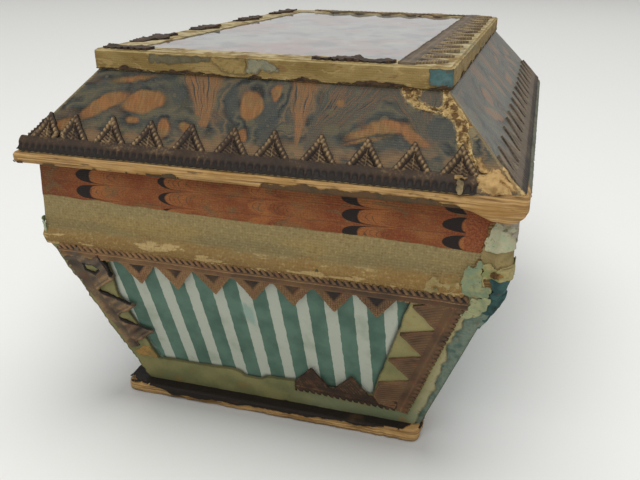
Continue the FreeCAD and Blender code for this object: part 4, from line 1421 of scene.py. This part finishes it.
class CASKET_OT_torn_corner(bpy.types.Operator):
    """Frayed layers of paper at the front corners of the waist"""
    bl_idname = "casket.torn_corner"
    bl_label = "Torn corner"

    MINT = [(56.3, 5.2), (57.5, 6.0), (59.2, 6.9), (60.0, 8.5), (60.6, 7.2), (60.3, 5.5), (60.7, 3.6),
            (60.9, 1.2), (63.4, 1.4), (62.9, -1.9), (58.0, -2.0), (56.1, -1.2), (55.7, 2.1)]
    WHITE = [(60.2, 11.0), (61.0, 14.2), (62.0, 16.8), (62.6, 19.2), (66.4, 19.4), (66.2, 11.6),
             (62.5, 10.9)]
    GREY = [(64.0, 19.4), (72.0, 19.4), (72.0, 13.4), (68.8, 12.8), (67.2, 13.8), (66.0, 13.4), (65.2, 15.4)]
    OLIVE = [(59.5, 9.4), (60.4, 11.8), (63.0, 12.4), (66.4, 13.4), (72.0, 14.4), (70.0, 8.0), (68.5, 5.4),
             (66.0, 4.6), (63.8, 5.6), (61.5, 4.6), (60.2, 7.0)]
    PALE = [(60.5, 6.9), (62.0, 7.4), (63.5, 6.9), (65.5, 7.6), (68.5, 8.2), (72.0, 8.0), (72.0, 5.2),
            (67.0, 5.0), (65.1, 3.5), (63.5, 4.2), (62.2, 3.8), (61.4, 3.0), (61.5, 1.0), (60.4, 0.8)]
    BITS = [(62.4, 5.8), (63.4, 6.4), (64.6, 5.6), (64.2, 4.4), (63.0, 4.6)]
    TEAL = [(62.2, 3.2), (66.0, 5.2), (70.0, 5.0), (70.0, -2.6), (62.6, -2.6), (63.6, 0.6)]
    CREAM = [(46.5, -2.4), (47.6, 1.4), (49.2, 2.6), (52.0, 0.8), (55.3, 1.8), (55.7, -2.2), (52.0, -2.8)]
    LEFT = [(-66.9, -0.4), (-66.2, 1.6), (-66.4, 4.4), (-65.4, 5.4), (-64.4, 3.0), (-64.6, -0.2)]
    GREEN = [(58.0, 56.9), (61.5, 57.6), (63.8, 58.0), (62.8, 53.9), (60.0, 50.6), (57.2, 49.8),
             (55.8, 48.9), (56.8, 51.9), (58.6, 55.4)]
    PUFF = 2.2

    def execute(self, context):
        c = settings().casket_colours
        wrap = Wrap(WAIST, mm(settings().casket_papers.corner), waist_profile).place
        front = lower_face("front").place
        white = tint(168, 164, 136)
        layers = (
            ("teal_paper", wrap, self.TEAL, tint(58, 88, 84), tint(42, 66, 66), 0.7, 0.2, 49),
            ("olive_paper", wrap, self.OLIVE, tint(140, 124, 84), tint(118, 106, 68), 0.6, 0.3, 53),
            ("white_paper", wrap, self.WHITE, white, tint(146, 158, 128), 0.9, 0.2, 43),
            ("grey_paper", wrap, self.GREY, tint(152, 146, 132), tint(150, 138, 106), 1.15, 0.3, 46),
            ("pale_paper", wrap, self.PALE, tint(156, 142, 98), tint(122, 126, 82), 1.05, 0.3, 50),
            ("ochre_bits", wrap, self.BITS, tint(160, 120, 60), tint(60, 44, 30), 1.35, 0.3, 48),
            ("mint_paper", wrap, self.MINT, c.mint, tint(136, 136, 98), 1.4, 0.2, 41),
            ("green_paper", front, self.GREEN, tint(148, 150, 112), tint(122, 130, 100), 1.3, 0.2, 44),
            ("cream_paper", wrap, self.CREAM, tint(146, 130, 88), tint(128, 112, 72), 1.45, 0.05, 45),
            ("left_paper", wrap, self.LEFT, tint(140, 158, 128), white, 0.9, 0.5, 47),
        )
        for kind, place, points, shade, under, lift, curl, seed in layers:
            name = f"corner_{kind}"
            inside = polygon(points)
            sheet = Sheet(*box_of(points), FINER).cut(ragged(inside, 0.45, 1.5, seed))

            def curled(u, v):
                edge = np.clip(1 - inside(u, v) / 2.0, 0, 1)
                wave = 0.5 + 0.5 * rough(u, v, 3.0, seed + 1)
                puff = np.clip((u - 62.0) / 3.5, 0, 1) * np.clip((72.5 - u) / 4.0, 0, 1)
                puff = self.PUFF * puff * np.clip((v + 3.0) / 7.0, 0, 1) * (v < 30)
                return lift + puff + curl * edge ** 2 * wave + 0.12 * rough(u, v, 2.0, seed + 2)

            sheet.lift(curled).thicken(0.2)
            finish = torn_finish(name.replace("_", " "), shade, under)
            sheet.piece(name, place, finish, "body", "cream_paper")
        return {"FINISHED"}


class CASKET_OT_slope_papers(bpy.types.Operator):
    """Marbled papers on the four slopes, with the front right hip torn open"""
    bl_idname = "casket.slope_papers"
    bl_label = "Slope papers"

    TEAR = [(36.8, 26.0), (36.8, 24.2), (38.4, 21.8), (40.8, 20.4), (43.4, 20.0), (46.6, 19.6), (49.0, 18.4),
            (50.6, 17.2), (51.4, 15.2), (51.5, 12.8), (52.6, 10.6), (53.8, 8.6), (55.4, 6.6), (57.6, 5.6),
            (56.8, 7.8), (55.4, 9.8), (54.8, 12.0), (54.0, 14.4), (53.6, 17.0), (52.4, 19.4), (50.4, 21.6),
            (48.4, 24.0), (47.8, 26.0)]
    FLAP = [(41.6, 26.2), (41.2, 22.4), (43.2, 20.9), (46.2, 20.6), (47.2, 21.4), (47.0, 23.4), (46.6, 26.2)]
    LUMP = [(56.6, 3.6), (58.4, 0.4), (61.8, 0.4), (66.4, 0.8), (67.6, 2.0), (65.4, 3.8), (62.4, 7.0),
            (60.7, 6.9), (58.5, 4.9)]
    SCRAP = [(53.2, 3.2), (54.5, 3.0), (54.8, 1.6), (54.3, -0.4), (53.5, -0.3), (53.0, 1.4)]
    CHIP = [(52.0, 4.2), (53.8, 4.3), (55.3, 3.7), (55.2, 3.1), (53.6, 3.5), (52.4, 3.3)]
    RIGHT = [(-0.3, 0.2), (2.2, 0.2), (2.6, 3.0), (3.6, 6.0), (4.4, 8.6), (3.4, 9.0), (1.6, 6.0)]
    # Strength of the painted sheen on the right slope's paper, a painted reflection
    PAINTED_SHEEN = 0.55
    CURL = [(56.6, 9.4), (57.6, 9.2), (58.6, 7.4), (60.2, 6.4), (59.6, 5.0), (58.0, 5.6), (56.9, 7.4)]
    FRONT_FANS = [(-13.5, 10.5, -0.52, 0.16, True), (11.5, 7.5, -0.16, 0.2, True),
                  (13.0, 7.0, 0.22, 1.2, False), (46.0, 11.5, -0.95, 0.05, False)]
    FRONT_BLOTS = [(-44.5, 15.3, 7.2, 2.3, 33), (-32.7, 17.0, 6.2, 3.1, 8), (-2.0, 17.8, 3.2, 4.2, 0),
                   (29.4, 13.4, 5.0, 1.1, 21), (34.6, 15.1, 5.4, 1.6, 2), (41.2, 12.8, 4.6, 1.5, -33),
                   (-37.0, 23.2, 5.5, 0.6, 10), (4.4, 22.0, 1.0, 2.2, -10), (-25.0, 10.2, 1.6, 2.4, 0),
                   (-19.2, 10.6, 1.8, 1.3, 0), (-3.0, 10.0, 1.1, 1.3, 0), (-35.0, 11.6, 1.6, 1.0, 0),
                   (-56.0, 8.5, 4.5, 1.1, 30), (21.5, 20.2, 1.2, 1.0, 0), (29.0, 11.2, 4.0, 0.5, 14),
                   (52.6, 14.0, 0.9, 1.4, 20)]
    FRONT_POOLS = [(47.5, 15.5, 3.6, 3.2, 0), (35.5, 10.2, 6.0, 1.2, 3), (3.4, 14.0, 2.6, 6.5, 0),
                   (-7.2, 19.0, 1.6, 5.0, 0), (-30.0, 11.4, 5.0, 1.2, 0), (-23.0, 20.0, 2.4, 4.0, 25)]
    SIDE_POOLS = [(-30.0, 14.0, 4.0, 4.0, 0), (-12.0, 15.0, 2.6, 6.0, 0), (38.0, 20.0, 5.0, 3.0, 10),
                  (70.0, 13.0, 5.0, 3.0, 0)]
    SIDE_FANS = [(-62.0, 9.0, -0.3, 0.3, False), (-31.0, 10.0, -0.5, 0.2, True),
                 (-5.0, 8.0, -0.2, 0.25, True), (-3.5, 7.0, 0.27, 1.2, False), (38.0, 9.0, -0.4, 0.3, True),
                 (76.0, 9.0, -0.9, 0.1, False)]
    SIDE_BLOTS = [(-56.0, 16.0, 8.0, 2.2, -20), (-46.0, 20.0, 6.0, 2.8, 10), (-18.0, 18.0, 3.2, 4.4, 5),
                  (16.0, 15.0, 8.5, 2.2, 4), (22.0, 23.0, 6.0, 1.1, 12), (54.0, 17.0, 7.0, 2.4, -25),
                  (63.0, 21.0, 5.0, 2.6, 10), (-86.0, 9.0, 4.0, 1.3, 30), (27.0, 10.5, 1.8, 1.3, 0),
                  (-39.0, 11.0, 1.6, 2.0, 0)]

    def execute(self, context):
        papers = settings().casket_papers
        ends = (self.FRONT_FANS, self.FRONT_BLOTS, self.FRONT_POOLS)
        sides = (self.SIDE_FANS, self.SIDE_BLOTS, self.SIDE_POOLS)
        drawings = {"front": ends, "right": (*sides, self.PAINTED_SHEEN), "back": self.turned(*ends),
                    "left": self.turned(*sides)}
        for side in SIDES:
            face = slope_face(side)
            finish = slate_marbled_finish(f"Slate marbled paper, {side}", *drawings[side])
            points = face.outline(0.0, 0.1, -0.15)
            shape = polygon(points)
            if side == "front":
                tear = ragged(polygon(self.TEAR), 0.45, 2.2, 51)
                shape = without(shape, without(tear, ragged(polygon(self.FLAP), 0.4, 2.0, 58)))
            sheet = Sheet(*box_of(points), mm(papers.step)).cut(shape)
            sheet.lift(uneven(0.42, 0.06, 9.0, 52)).thicken(0.38)
            sheet.piece(f"slope_paper_{side}", face.place, finish, "lid", "slate_marbled_paper",
                        [f"marbled_paper_{side}"])
        self.hip()
        return {"FINISHED"}

    @staticmethod
    def turned(fans, *spots):
        """The same drawing, seen in a mirror."""
        return ([(-u, v, -right, -left, warm) for u, v, left, right, warm in fans],
                *[[(-u, v, long, wide, -lean) for u, v, long, wide, lean in group] for group in spots])

    def hip(self):
        """Crumpled under paper along the torn hip, the lump of it at the corner, and loose scraps."""
        beige = torn_finish("Torn hip paper", tint(186, 158, 106), tint(104, 80, 52),
                            tint(204, 178, 124), 1.5)
        bright = torn_finish("Torn corner lump", tint(182, 150, 100), tint(140, 110, 68), tint(84, 64, 42))
        grey = torn_finish("Grey hip scrap", tint(136, 120, 90), tint(90, 78, 56))
        face = slope_face("front")
        tear = polygon(self.TEAR)
        flap = polygon(self.FLAP)
        strip = Sheet(*box_of(self.TEAR), FINER)
        strip.cut(both(polygon(face.outline(0.0, 0.1, -0.3)), lambda u, v: tear(u, v) + 0.2,
                       lambda u, v: 0.1 - flap(u, v)))

        def crumple(u, v):
            folds = 1 - np.abs(rough(u, v, 2.2, 54))
            return 0.15 + 1.0 * np.clip(folds, 0, 1) ** 2 + 0.3 * rough(u, v, 1.2, 55)

        strip.lift(lambda u, v: np.maximum(crumple(u, v), 0.1)).close()
        strip.piece("hip_paper_front", face.place, beige, "lid", "binding_paper")
        mound = polygon(self.LUMP)
        lump = Sheet(*box_of(self.LUMP), FINER).cut(ragged(mound, 0.5, 1.8, 56))
        crease = lambda u, v: ridge(v, 3.4 - 0.7 * (u - 63.2), 0.4) * (u > 62.4)
        lump.lift(lambda u, v: 0.5 + 0.6 * np.clip(mound(u, v), 0, 2.2) + 0.55 * rough(u, v, 2.6, 57)
                  - 0.9 * crease(u, v)).close()
        lump.piece("hip_paper_lump", face.place, bright, "lid", "binding_paper")
        curl = scrap(self.CURL, FINER, (0.3, 1.6, 67), (1.0, 0.4, 1.6, 68)).close()
        curl.piece("hip_paper_curl", face.place, bright, "lid", "binding_paper")
        for name, points, finish in (("scrap", self.SCRAP, grey), ("chip", self.CHIP, bright)):
            loose = scrap(points, FINEST, (0.3, 1.2, 65), (1.7, 0.3, 2.0, 86)).thicken(0.25)
            loose.piece(f"hip_paper_{name}", face.place, finish, "lid", "binding_paper")
        right = slope_face("right")
        edge = [(u - right.foot, v) for u, v in self.RIGHT]
        side = Sheet(*box_of(edge), FINE).cut(ragged(polygon(edge), 0.5, 2.2, 59))
        side.lift(lambda u, v: 0.5 + 0.25 * np.abs(rough(u, v, 2.6, 60))).close()
        side.piece("hip_paper_right", right.place, beige, "lid", "binding_paper")


class CASKET_OT_body_trim(bpy.types.Operator):
    """Pressed trim strips around the two windows"""
    bl_idname = "casket.body_trim"
    bl_label = "Body trim"

    RIGHT_MORE = [(-4.0, 4.0), (-4.0, 9.6), (-1.0, 12.0), (4.6, 12.0), (5.6, 4.0)]
    LEFT_MORE = [(0.8, 3.0), (1.4, 9.0), (4.0, 12.6), (9.6, 13.4), (15.0, 13.0), (14.0, 4.0)]
    LEFT_HOLE = [(8.4, 5.6), (10.4, 5.0), (12.0, 7.4), (11.0, 9.4), (9.0, 8.4)]

    def execute(self, context):
        papers = settings().casket_papers
        c = settings().casket_colours
        brown = tint(118, 88, 56)
        stain = tint(100, 62, 42)
        lift = mm(papers.card_low) + mm(papers.card) + 0.05
        front = lower_face("front")
        pitch = mm(settings().casket_trim.pitch)
        line = mm(settings().casket_trim.line)
        lined = {"tooth": lined_tooth, "edge": sawn_edge, "relief": line}
        plain = {"tooth": plain_tooth, "edge": plain_edge, "relief": line * 0.8}
        bent = {"tooth": hooked_tooth, "edge": faded_edge, "relief": line,
                "curl": 0.7, "crumple": 0.45, "torn": 0.5,
                "clip": lambda s, t: t - np.interp(s, [12.0, 22.0], [0.0, 1.3])}
        top = pressed_strip(-58.0, 61.0, spaced(-34.2, 7, 11.75), 61, rise=7.4, **lined)
        right = pressed_strip(-4.4, 46.0, spaced(5.1, 4, pitch), 62, rise=8.1, more=self.RIGHT_MORE, **plain)
        bottom = pressed_strip(-0.6, 31.5, spaced(4.9, 2, 12.4), 63, **plain)
        left = pressed_strip(0.5, 43.5, spaced(12.9, 3, pitch), 64, rise=9.6, lean=1.6, more=self.LEFT_MORE,
                             hole=self.LEFT_HOLE, **bent)
        strips = (("top", top, (0.0, 57.7), (-1, 0), 0.2, brown, tint(82, 60, 40)),
                  ("right", right, (43.8, 9.6), (0.2955, 0.955), 0.0, tint(94, 69, 45), None),
                  ("bottom", bottom, (7.6, 7.7), (0.998, -0.057), 0.05, tint(52, 37, 24), None),
                  ("left", left, (-62.6, 56.4), (0.3027, -0.953), 0.0, tint(82, 69, 54), None))
        for place, strip, origin, along, more, flat, far in strips:
            strip.turn(origin, along)
            gilt = gilt_finish(f"Oxidised gilt paper, front {place}", flat, c.gilt, stain, far)
            strip.piece(f"front_trim_{place}_pressed", lifted(front.place, lift + more), gilt,
                        "body", "gilt_paper", [f"front_trim_{place}"])
        self.back(gilt_finish("Oxidised gilt paper, back", brown, c.gilt, stain), lift)
        return {"FINISHED"}

    def back(self, gilt, lift):
        """The set on the back, which is whole."""
        face = lower_face("back")
        trim = settings().casket_trim
        band, rise, line = mm(trim.band), mm(trim.rise), mm(trim.line)
        lean = Vector((face.head - face.foot, face.height)).normalized()
        top, bottom, margin = face.height - 2.4, 6.2, 5.2
        reach = (band + rise) / lean.y
        head = face.half_at(top) - margin
        foot = face.half_at(bottom) - margin
        low, high = bottom + band, top - band
        span = (high - low) / lean.y / 2 - 0.3
        middle = (low + high) / 2
        edge = face.half_at(middle) - margin
        strips = {
            "top": (-head, head, centred(head - reach, head), (0, top), (-1, 0)),
            "bottom": (-foot, foot, centred(foot - reach, foot), (0, bottom), (1, 0)),
            "right": (-span, span, centred(span, span), (edge, middle), lean),
            "left": (-span, span, centred(span, span), (-edge, middle), (lean.x, -lean.y)),
        }
        for seed, (place, (start, end, teeth, origin, along)) in enumerate(strips.items(), 66):
            strip = pressed_strip(start, end, teeth, seed, lined_tooth, sawn_edge, line).turn(origin, along)
            strip.piece(f"back_trim_{place}_pressed", lifted(face.place, lift), gilt, "body", "gilt_paper",
                        [f"back_trim_{place}"])


class CASKET_OT_lid_trim(bpy.types.Operator):
    """Pressed trim along the foot of each slope"""
    bl_idname = "casket.lid_trim"
    bl_label = "Lid trim"

    FOOT = 0.1
    END_GAP = 0.8
    CORNER = 2.9
    OFF = 0.45
    WIDTH = 9.6
    FRONT_END = 57.6
    PAST_HIP = -2.2
    FIRST_TOOTH = 5.4
    FRONT_TEETH = [-51.5, -40.1, -28.7, -16.9, -5.0, 6.0, 18.3, 30.3, 41.8, 53.2]

    def execute(self, context):
        trim = settings().casket_trim
        gilt = gilt_finish("Oxidised gilt paper, lid", tint(55, 42, 31), tint(172, 144, 104),
                           tint(68, 50, 35))
        # A paler copy of the lid's gilt for the right slope's trim: a painted sheen, as on that slope's
        # paper
        paler = gilt_finish("Gilt paper with painted sheen, lid", tint(96, 84, 70), tint(142, 128, 106), tint(84, 70, 58))
        for seed, side in enumerate(SIDES, 71):
            face = slope_face(side)
            valley = self.FOOT + mm(trim.band)
            half = face.half_at(valley)
            tips = face.half_at(valley + mm(trim.rise))
            mitre = polygon(face.outline(-5.0, -5.0, self.PAST_HIP if side == "front" else 0.3))
            end = self.FRONT_END if side == "front" else half + self.CORNER
            evenly = centred(half - self.END_GAP, tips - self.END_GAP)
            teeth = self.FRONT_TEETH if side == "front" else evenly
            corners = [half - self.CORNER] if end > half else []
            first = self.FIRST_TOOTH if side == "front" else self.CORNER
            teeth = [first - half] + teeth + corners
            relief = mm(trim.rope) * (0.3 if side == "right" else 1.0)
            strip = pressed_strip(-half - self.CORNER, end, teeth, seed, relief=relief, width=self.WIDTH,
                                  flank=0.45, curl=0.5, clip=lambda s, t: mitre(s, t + self.FOOT))
            strip.turn((0.0, self.FOOT), (1, 0))
            # The right slope's trim takes the copy with the painted sheen
            finish = paler if side == "right" else gilt
            strip.piece(f"lid_trim_{side}_pressed", lifted(face.place, self.OFF), finish,
                        "lid", "gilt_paper", [f"lid_trim_{side}"])
        return {"FINISHED"}


class CASKET_OT_top_plate(bpy.types.Operator):
    """Glass over a faded print, bound with paper and edged with what is left of the trim"""
    bl_idname = "casket.top_plate"
    bl_label = "Top plate"

    LAP = 9.0
    RADIUS = 0.6
    SKIRT = 0.8
    OFF = 0.36
    LEFT_SCRAPS = [(-80.0, -52.0), (-34.0, -12.0), (8.0, 27.0), (44.0, 66.0)]
    FRONT_SCRAPS = [(-47.0, -33.0), (13.0, 34.0)]
    GREY = [(-32.4, 2.4), (-31.8, 4.8), (-14.2, 4.8), (-14.2, 3.6), (-20.0, 3.1), (-26.0, 2.4)]
    PATCH = [(-14.2, 5.0), (-13.2, 3.2), (-11.2, 1.6), (-8.6, 0.9), (-4.2, 0.8), (-4.2, 5.0)]
    BLUE = [(-4.2, 1.2), (-4.0, 5.0), (1.4, 5.0), (3.4, 3.8), (5.0, 2.0), (2.0, 1.7), (0.0, 2.1),
            (-1.4, 1.2)]
    TEAL = [(43.2, 0.9), (43.2, 5.0), (48.9, 5.0), (48.9, 0.9)]

    def execute(self, context):
        dress("glass_pane", glass_finish())
        dress("print_card", print_finish())
        self.binding()
        self.trims()
        return {"FINISHED"}

    def binding(self):
        hx, hy, top = PLATE
        low = SLOPE_HEAD[2]
        paper = binding_finish("Aged binding paper", 0.0)
        girth = self.SKIRT + (top - low) + 0.8
        ridge_at = self.SKIRT + top - low
        heights = [low - 0.05, low + 0.1, top - 0.1, top + 0.34]
        bound = profile([0.0, self.SKIRT, ridge_at, girth], [-0.5, 0.3, 0.32, -0.5], heights)
        wrap = Wrap((hx, hy), self.RADIUS, bound)
        edge = Sheet((0.0, wrap.length), (0.0, girth), FINE)
        edge.keep("edge", np.clip(np.abs(edge.flat()[:, 1] - ridge_at) / 1.2, 0, 1))
        wrinkled = lambda u, v: 0.05 + 0.12 * rough(u, v, 3.5, 81) * np.clip((girth - v) / 1.0, 0, 1)
        edge.lift(wrinkled).thicken(0.2)
        edge.piece("edge_binding_paper", wrap.place, paper, "lid", "binding_paper", ["edge_binding"])
        binding = settings().casket_colours.binding
        scars = (("binding_grey_scar", self.GREY, tint(98, 92, 70), tint(74, 74, 60), 0.2, 87),
                 ("binding_patch", self.PATCH, binding, tint(122, 104, 62), 0.42, 94),
                 ("binding_blue_scar", self.BLUE, tint(128, 124, 100), tint(104, 108, 96), 0.24, 88),
                 ("binding_teal_scar", self.TEAL, tint(66, 94, 94), tint(84, 112, 110), 0.25, 89))
        for name, points, shade, under, lift, seed in scars:
            raised = [(u, v + self.SKIRT) for u, v in points]
            scar = scrap(raised, FINEST, (0.22, 1.6, seed), (lift, 0.1, 2.0, seed)).thicken(0.15)
            finish = torn_finish(name.replace("_", " "), shade, under, tint(86, 70, 46))
            scar.piece(name, wrap.place, finish, "lid", "binding_paper")
        # A dark ragged strip over the foot of the binding: a painted shadow where the binding meets the
        # slope
        frayed = lambda u, v: 1.15 + 0.8 * rough(u, v * 0.3, 7.0, 90) + 0.35 * rough(u, v * 0.3, 2.0, 91) - v
        ends = lambda u, v: np.minimum.reduce([u + SEAM, wrap.length + SEAM - u, v + SEAM])
        foot = Sheet((0.0, wrap.length), (0.0, 2.4), FINER).cut(both(frayed, ends), frayed)
        foot.lift(uneven(0.25, 0.08, 1.5, 92)).thicken(0.15)
        dark = torn_finish("Painted shadow at the foot of the binding", tint(70, 54, 38), tint(44, 34, 28))
        foot.piece("binding_painted_shadow", wrap.place, dark, "lid", "binding_paper")
        face = plate_face("front", top)
        outer = [(-hx + 0.3, 0.3), (hx - 0.3, 0.3), (hx - 0.3, 2 * hy - 0.3), (-hx + 0.3, 2 * hy - 0.3)]
        inner = [(-hx + self.LAP, 8.4), (hx - self.LAP, 8.4), (hx - self.LAP, 2 * hy - self.LAP),
                 (-hx + self.LAP, 2 * hy - self.LAP)]
        lap = Sheet(*box_of(outer), 1.0).cut(without(polygon(outer), ragged(polygon(inner), 0.5, 5.0, 82)))
        lap.lift(uneven(0.3, 0.05, 5.0, 83)).thicken(0.26)
        # The lap on top takes the paler copy of the binding: painted light on its upward face
        paler = binding_finish("Binding paper, painted light on top", 0.6)
        lap.piece("binding_lap", face.place, paler, "lid", "binding_paper")

    def trims(self):
        c = settings().casket_colours
        gilt = gilt_finish("Oxidised gilt paper, top", c.bronze, c.gilt, tint(72, 50, 36))
        paler = gilt_finish("Faded gilt paper, top", tint(108, 94, 76), tint(188, 166, 120),
                            tint(90, 72, 56))
        _, _, top = PLATE
        trim = settings().casket_trim
        line = mm(trim.line)
        depth = mm(trim.band) + mm(trim.rise) + 1.4
        for side, seed, foot, along in (("right", 84, depth, -1), ("back", 85, 0.3, 1)):
            face = plate_face(side, top)
            half = face.foot - (0.6 if side == "right" else depth + 0.4)
            strip = pressed_strip(-half, half, centred(half - 1.0, half), seed, lined_tooth, plain_edge,
                                  line, curl=0.2)
            strip.turn((0.0, foot), (along, 0))
            strip.piece(f"top_trim_{side}_pressed", lifted(face.place, self.OFF), paler, "lid", "gilt_paper",
                        [f"top_trim_{side}"])
        for side, scraps in (("left", self.LEFT_SCRAPS), ("front", self.FRONT_SCRAPS)):
            face = plate_face(side, top)
            for number, (low, high) in enumerate(scraps, 1):
                teeth = [(low + high) / 2]
                strip = pressed_strip(low, high, teeth, 93 + number, plain_tooth, plain_edge, line, 2.5,
                                      crumple=0.35, torn=1.0)
                strip.turn((0.0, 0.3), (1, 0))
                strip.piece(f"top_trim_{side}_scrap_{number}", lifted(face.place, self.OFF), gilt,
                            "lid", "gilt_paper", [f"top_trim_{side}"])


class CASKET_OT_inside(bpy.types.Operator):
    """Lining papers and hinges"""
    bl_idname = "casket.inside"
    bl_label = "Inside"

    def execute(self, context):
        lining = lining_finish()
        brass = brass_finish()
        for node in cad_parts:
            if node.endswith("_lining"):
                dress(node, lining)
            elif node.startswith("hinge_"):
                dress(node, brass)
        return {"FINISHED"}


class CASKET_OT_stage(bpy.types.Operator):
    """Pale table with a painted shadow before the box, soft light and the camera"""
    bl_idname = "casket.stage"
    bl_label = "Stage"

    FLOOR_HALF = 6.0
    # Painted shadow before the box: half width, front, fade and start, in millimetres
    PAINTED_SHADOW = (51.0, -80.0, 17.0, -52.0)
    SKY_TINT = (1.0, 1.0, 0.99, 1.0)
    PANEL = (4.0, (0.0, 0.4, 2.4))
    FRONT_LAMP = (1.0, (0.1, -0.7, 0.9))
    AIM = (0.0, 0.0, 0.06)
    SENSOR = 36.0

    def execute(self, context):
        self.floor()
        self.light()
        self.camera()
        return {"FINISHED"}

    def floor(self):
        bm = bmesh.new()
        bmesh.ops.create_grid(bm, x_segments=1, y_segments=1, size=self.FLOOR_HALF)
        mesh = bpy.data.meshes.new("table")
        bm.to_mesh(mesh)
        bm.free()
        mesh.materials.append(floor_finish(*self.PAINTED_SHADOW))
        table = bpy.data.objects.new("table", mesh)
        bpy.context.scene.collection.objects.link(table)

    def light(self):
        stage = settings().casket_stage
        world = bpy.data.worlds.new("Soft room")
        world.use_nodes = True
        nodes, links = world.node_tree.nodes, world.node_tree.links
        sky = nodes["Background"]
        sky.inputs["Color"].default_value = self.SKY_TINT
        path = nodes.new("ShaderNodeLightPath")
        seen = path.outputs["Is Camera Ray"]
        for ray in ("Is Glossy Ray", "Is Transmission Ray"):
            either = nodes.new("ShaderNodeMath")
            either.operation = "MAXIMUM"
            links.new(seen, either.inputs[0])
            links.new(path.outputs[ray], either.inputs[1])
            seen = either.outputs[0]
        level = nodes.new("ShaderNodeMapRange")
        level.inputs["To Min"].default_value = stage.sky
        level.inputs["To Max"].default_value = stage.backdrop
        links.new(seen, level.inputs["Value"])
        links.new(level.outputs[0], sky.inputs["Strength"])
        bpy.context.scene.world = world
        self.lamp("Panel", stage.panel, *self.PANEL)
        self.lamp("Front lamp", stage.lamp, *self.FRONT_LAMP)

    def lamp(self, name, power, size, place):
        """Round area lamp that faces the box."""
        light = bpy.data.lights.new(name, "AREA")
        light.shape = "DISK"
        light.size = size
        light.energy = power
        holder = bpy.data.objects.new(name, light)
        holder.location = place
        aim = Vector(self.AIM) - holder.location
        holder.rotation_euler = aim.to_track_quat("-Z", "Y").to_euler()
        bpy.context.scene.collection.objects.link(holder)

    def camera(self):
        stage = settings().casket_stage
        az, el, roll = stage.azimuth, stage.elevation, stage.roll
        back = Vector((math.sin(az) * math.cos(el), -math.cos(az) * math.cos(el), math.sin(el)))
        right = Vector((math.cos(az), math.sin(az), 0.0))
        up = back.cross(right)
        across = right * math.cos(roll) + up * math.sin(roll)
        upward = up * math.cos(roll) - right * math.sin(roll)
        data = bpy.data.cameras.new("Camera")
        data.sensor_fit = "HORIZONTAL"
        data.sensor_width = self.SENSOR
        data.lens = stage.lens
        camera = bpy.data.objects.new("Camera", data)
        turn = Matrix((across, upward, back)).transposed().to_4x4()
        place = (stage.distance_x, stage.distance_y, stage.distance_z)
        camera.matrix_world = Matrix.Translation(place) @ turn
        bpy.context.scene.collection.objects.link(camera)
        bpy.context.scene.camera = camera
        bpy.context.scene.view_settings.view_transform = "Standard"


PIECES = (
    CASKET_OT_boards,
    CASKET_OT_base_paper,
    CASKET_OT_window_cards,
    CASKET_OT_side_papers,
    CASKET_OT_bands,
    CASKET_OT_torn_corner,
    CASKET_OT_slope_papers,
    CASKET_OT_body_trim,
    CASKET_OT_lid_trim,
    CASKET_OT_top_plate,
    CASKET_OT_inside,
    CASKET_OT_stage,
)
GROUPS = (("casket_trim", CasketTrim), ("casket_papers", CasketPapers), ("casket_colours", CasketColours),
          ("casket_stage", CasketStage))


class CASKET_PT_panel(bpy.types.Panel):
    """Lists the pieces of the casket"""
    bl_label = "Casket"
    bl_idname = "CASKET_PT_panel"
    bl_space_type = "VIEW_3D"
    bl_region_type = "UI"
    bl_category = "Casket"

    def draw(self, context):
        for operator in PIECES:
            self.layout.operator(operator.bl_idname)


def register():
    for name, group in GROUPS:
        bpy.utils.register_class(group)
        setattr(bpy.types.Scene, name, PointerProperty(type=group))
    for cls in PIECES + (CASKET_PT_panel,):
        bpy.utils.register_class(cls)


def unregister():
    for cls in reversed(PIECES + (CASKET_PT_panel,)):
        bpy.utils.unregister_class(cls)
    for name, group in reversed(GROUPS):
        delattr(bpy.types.Scene, name)
        bpy.utils.unregister_class(group)


def main():
    register()
    for operator in PIECES:
        group, name = operator.bl_idname.split(".")
        getattr(getattr(bpy.ops, group), name)()


if __name__ == "__main__":
    main()
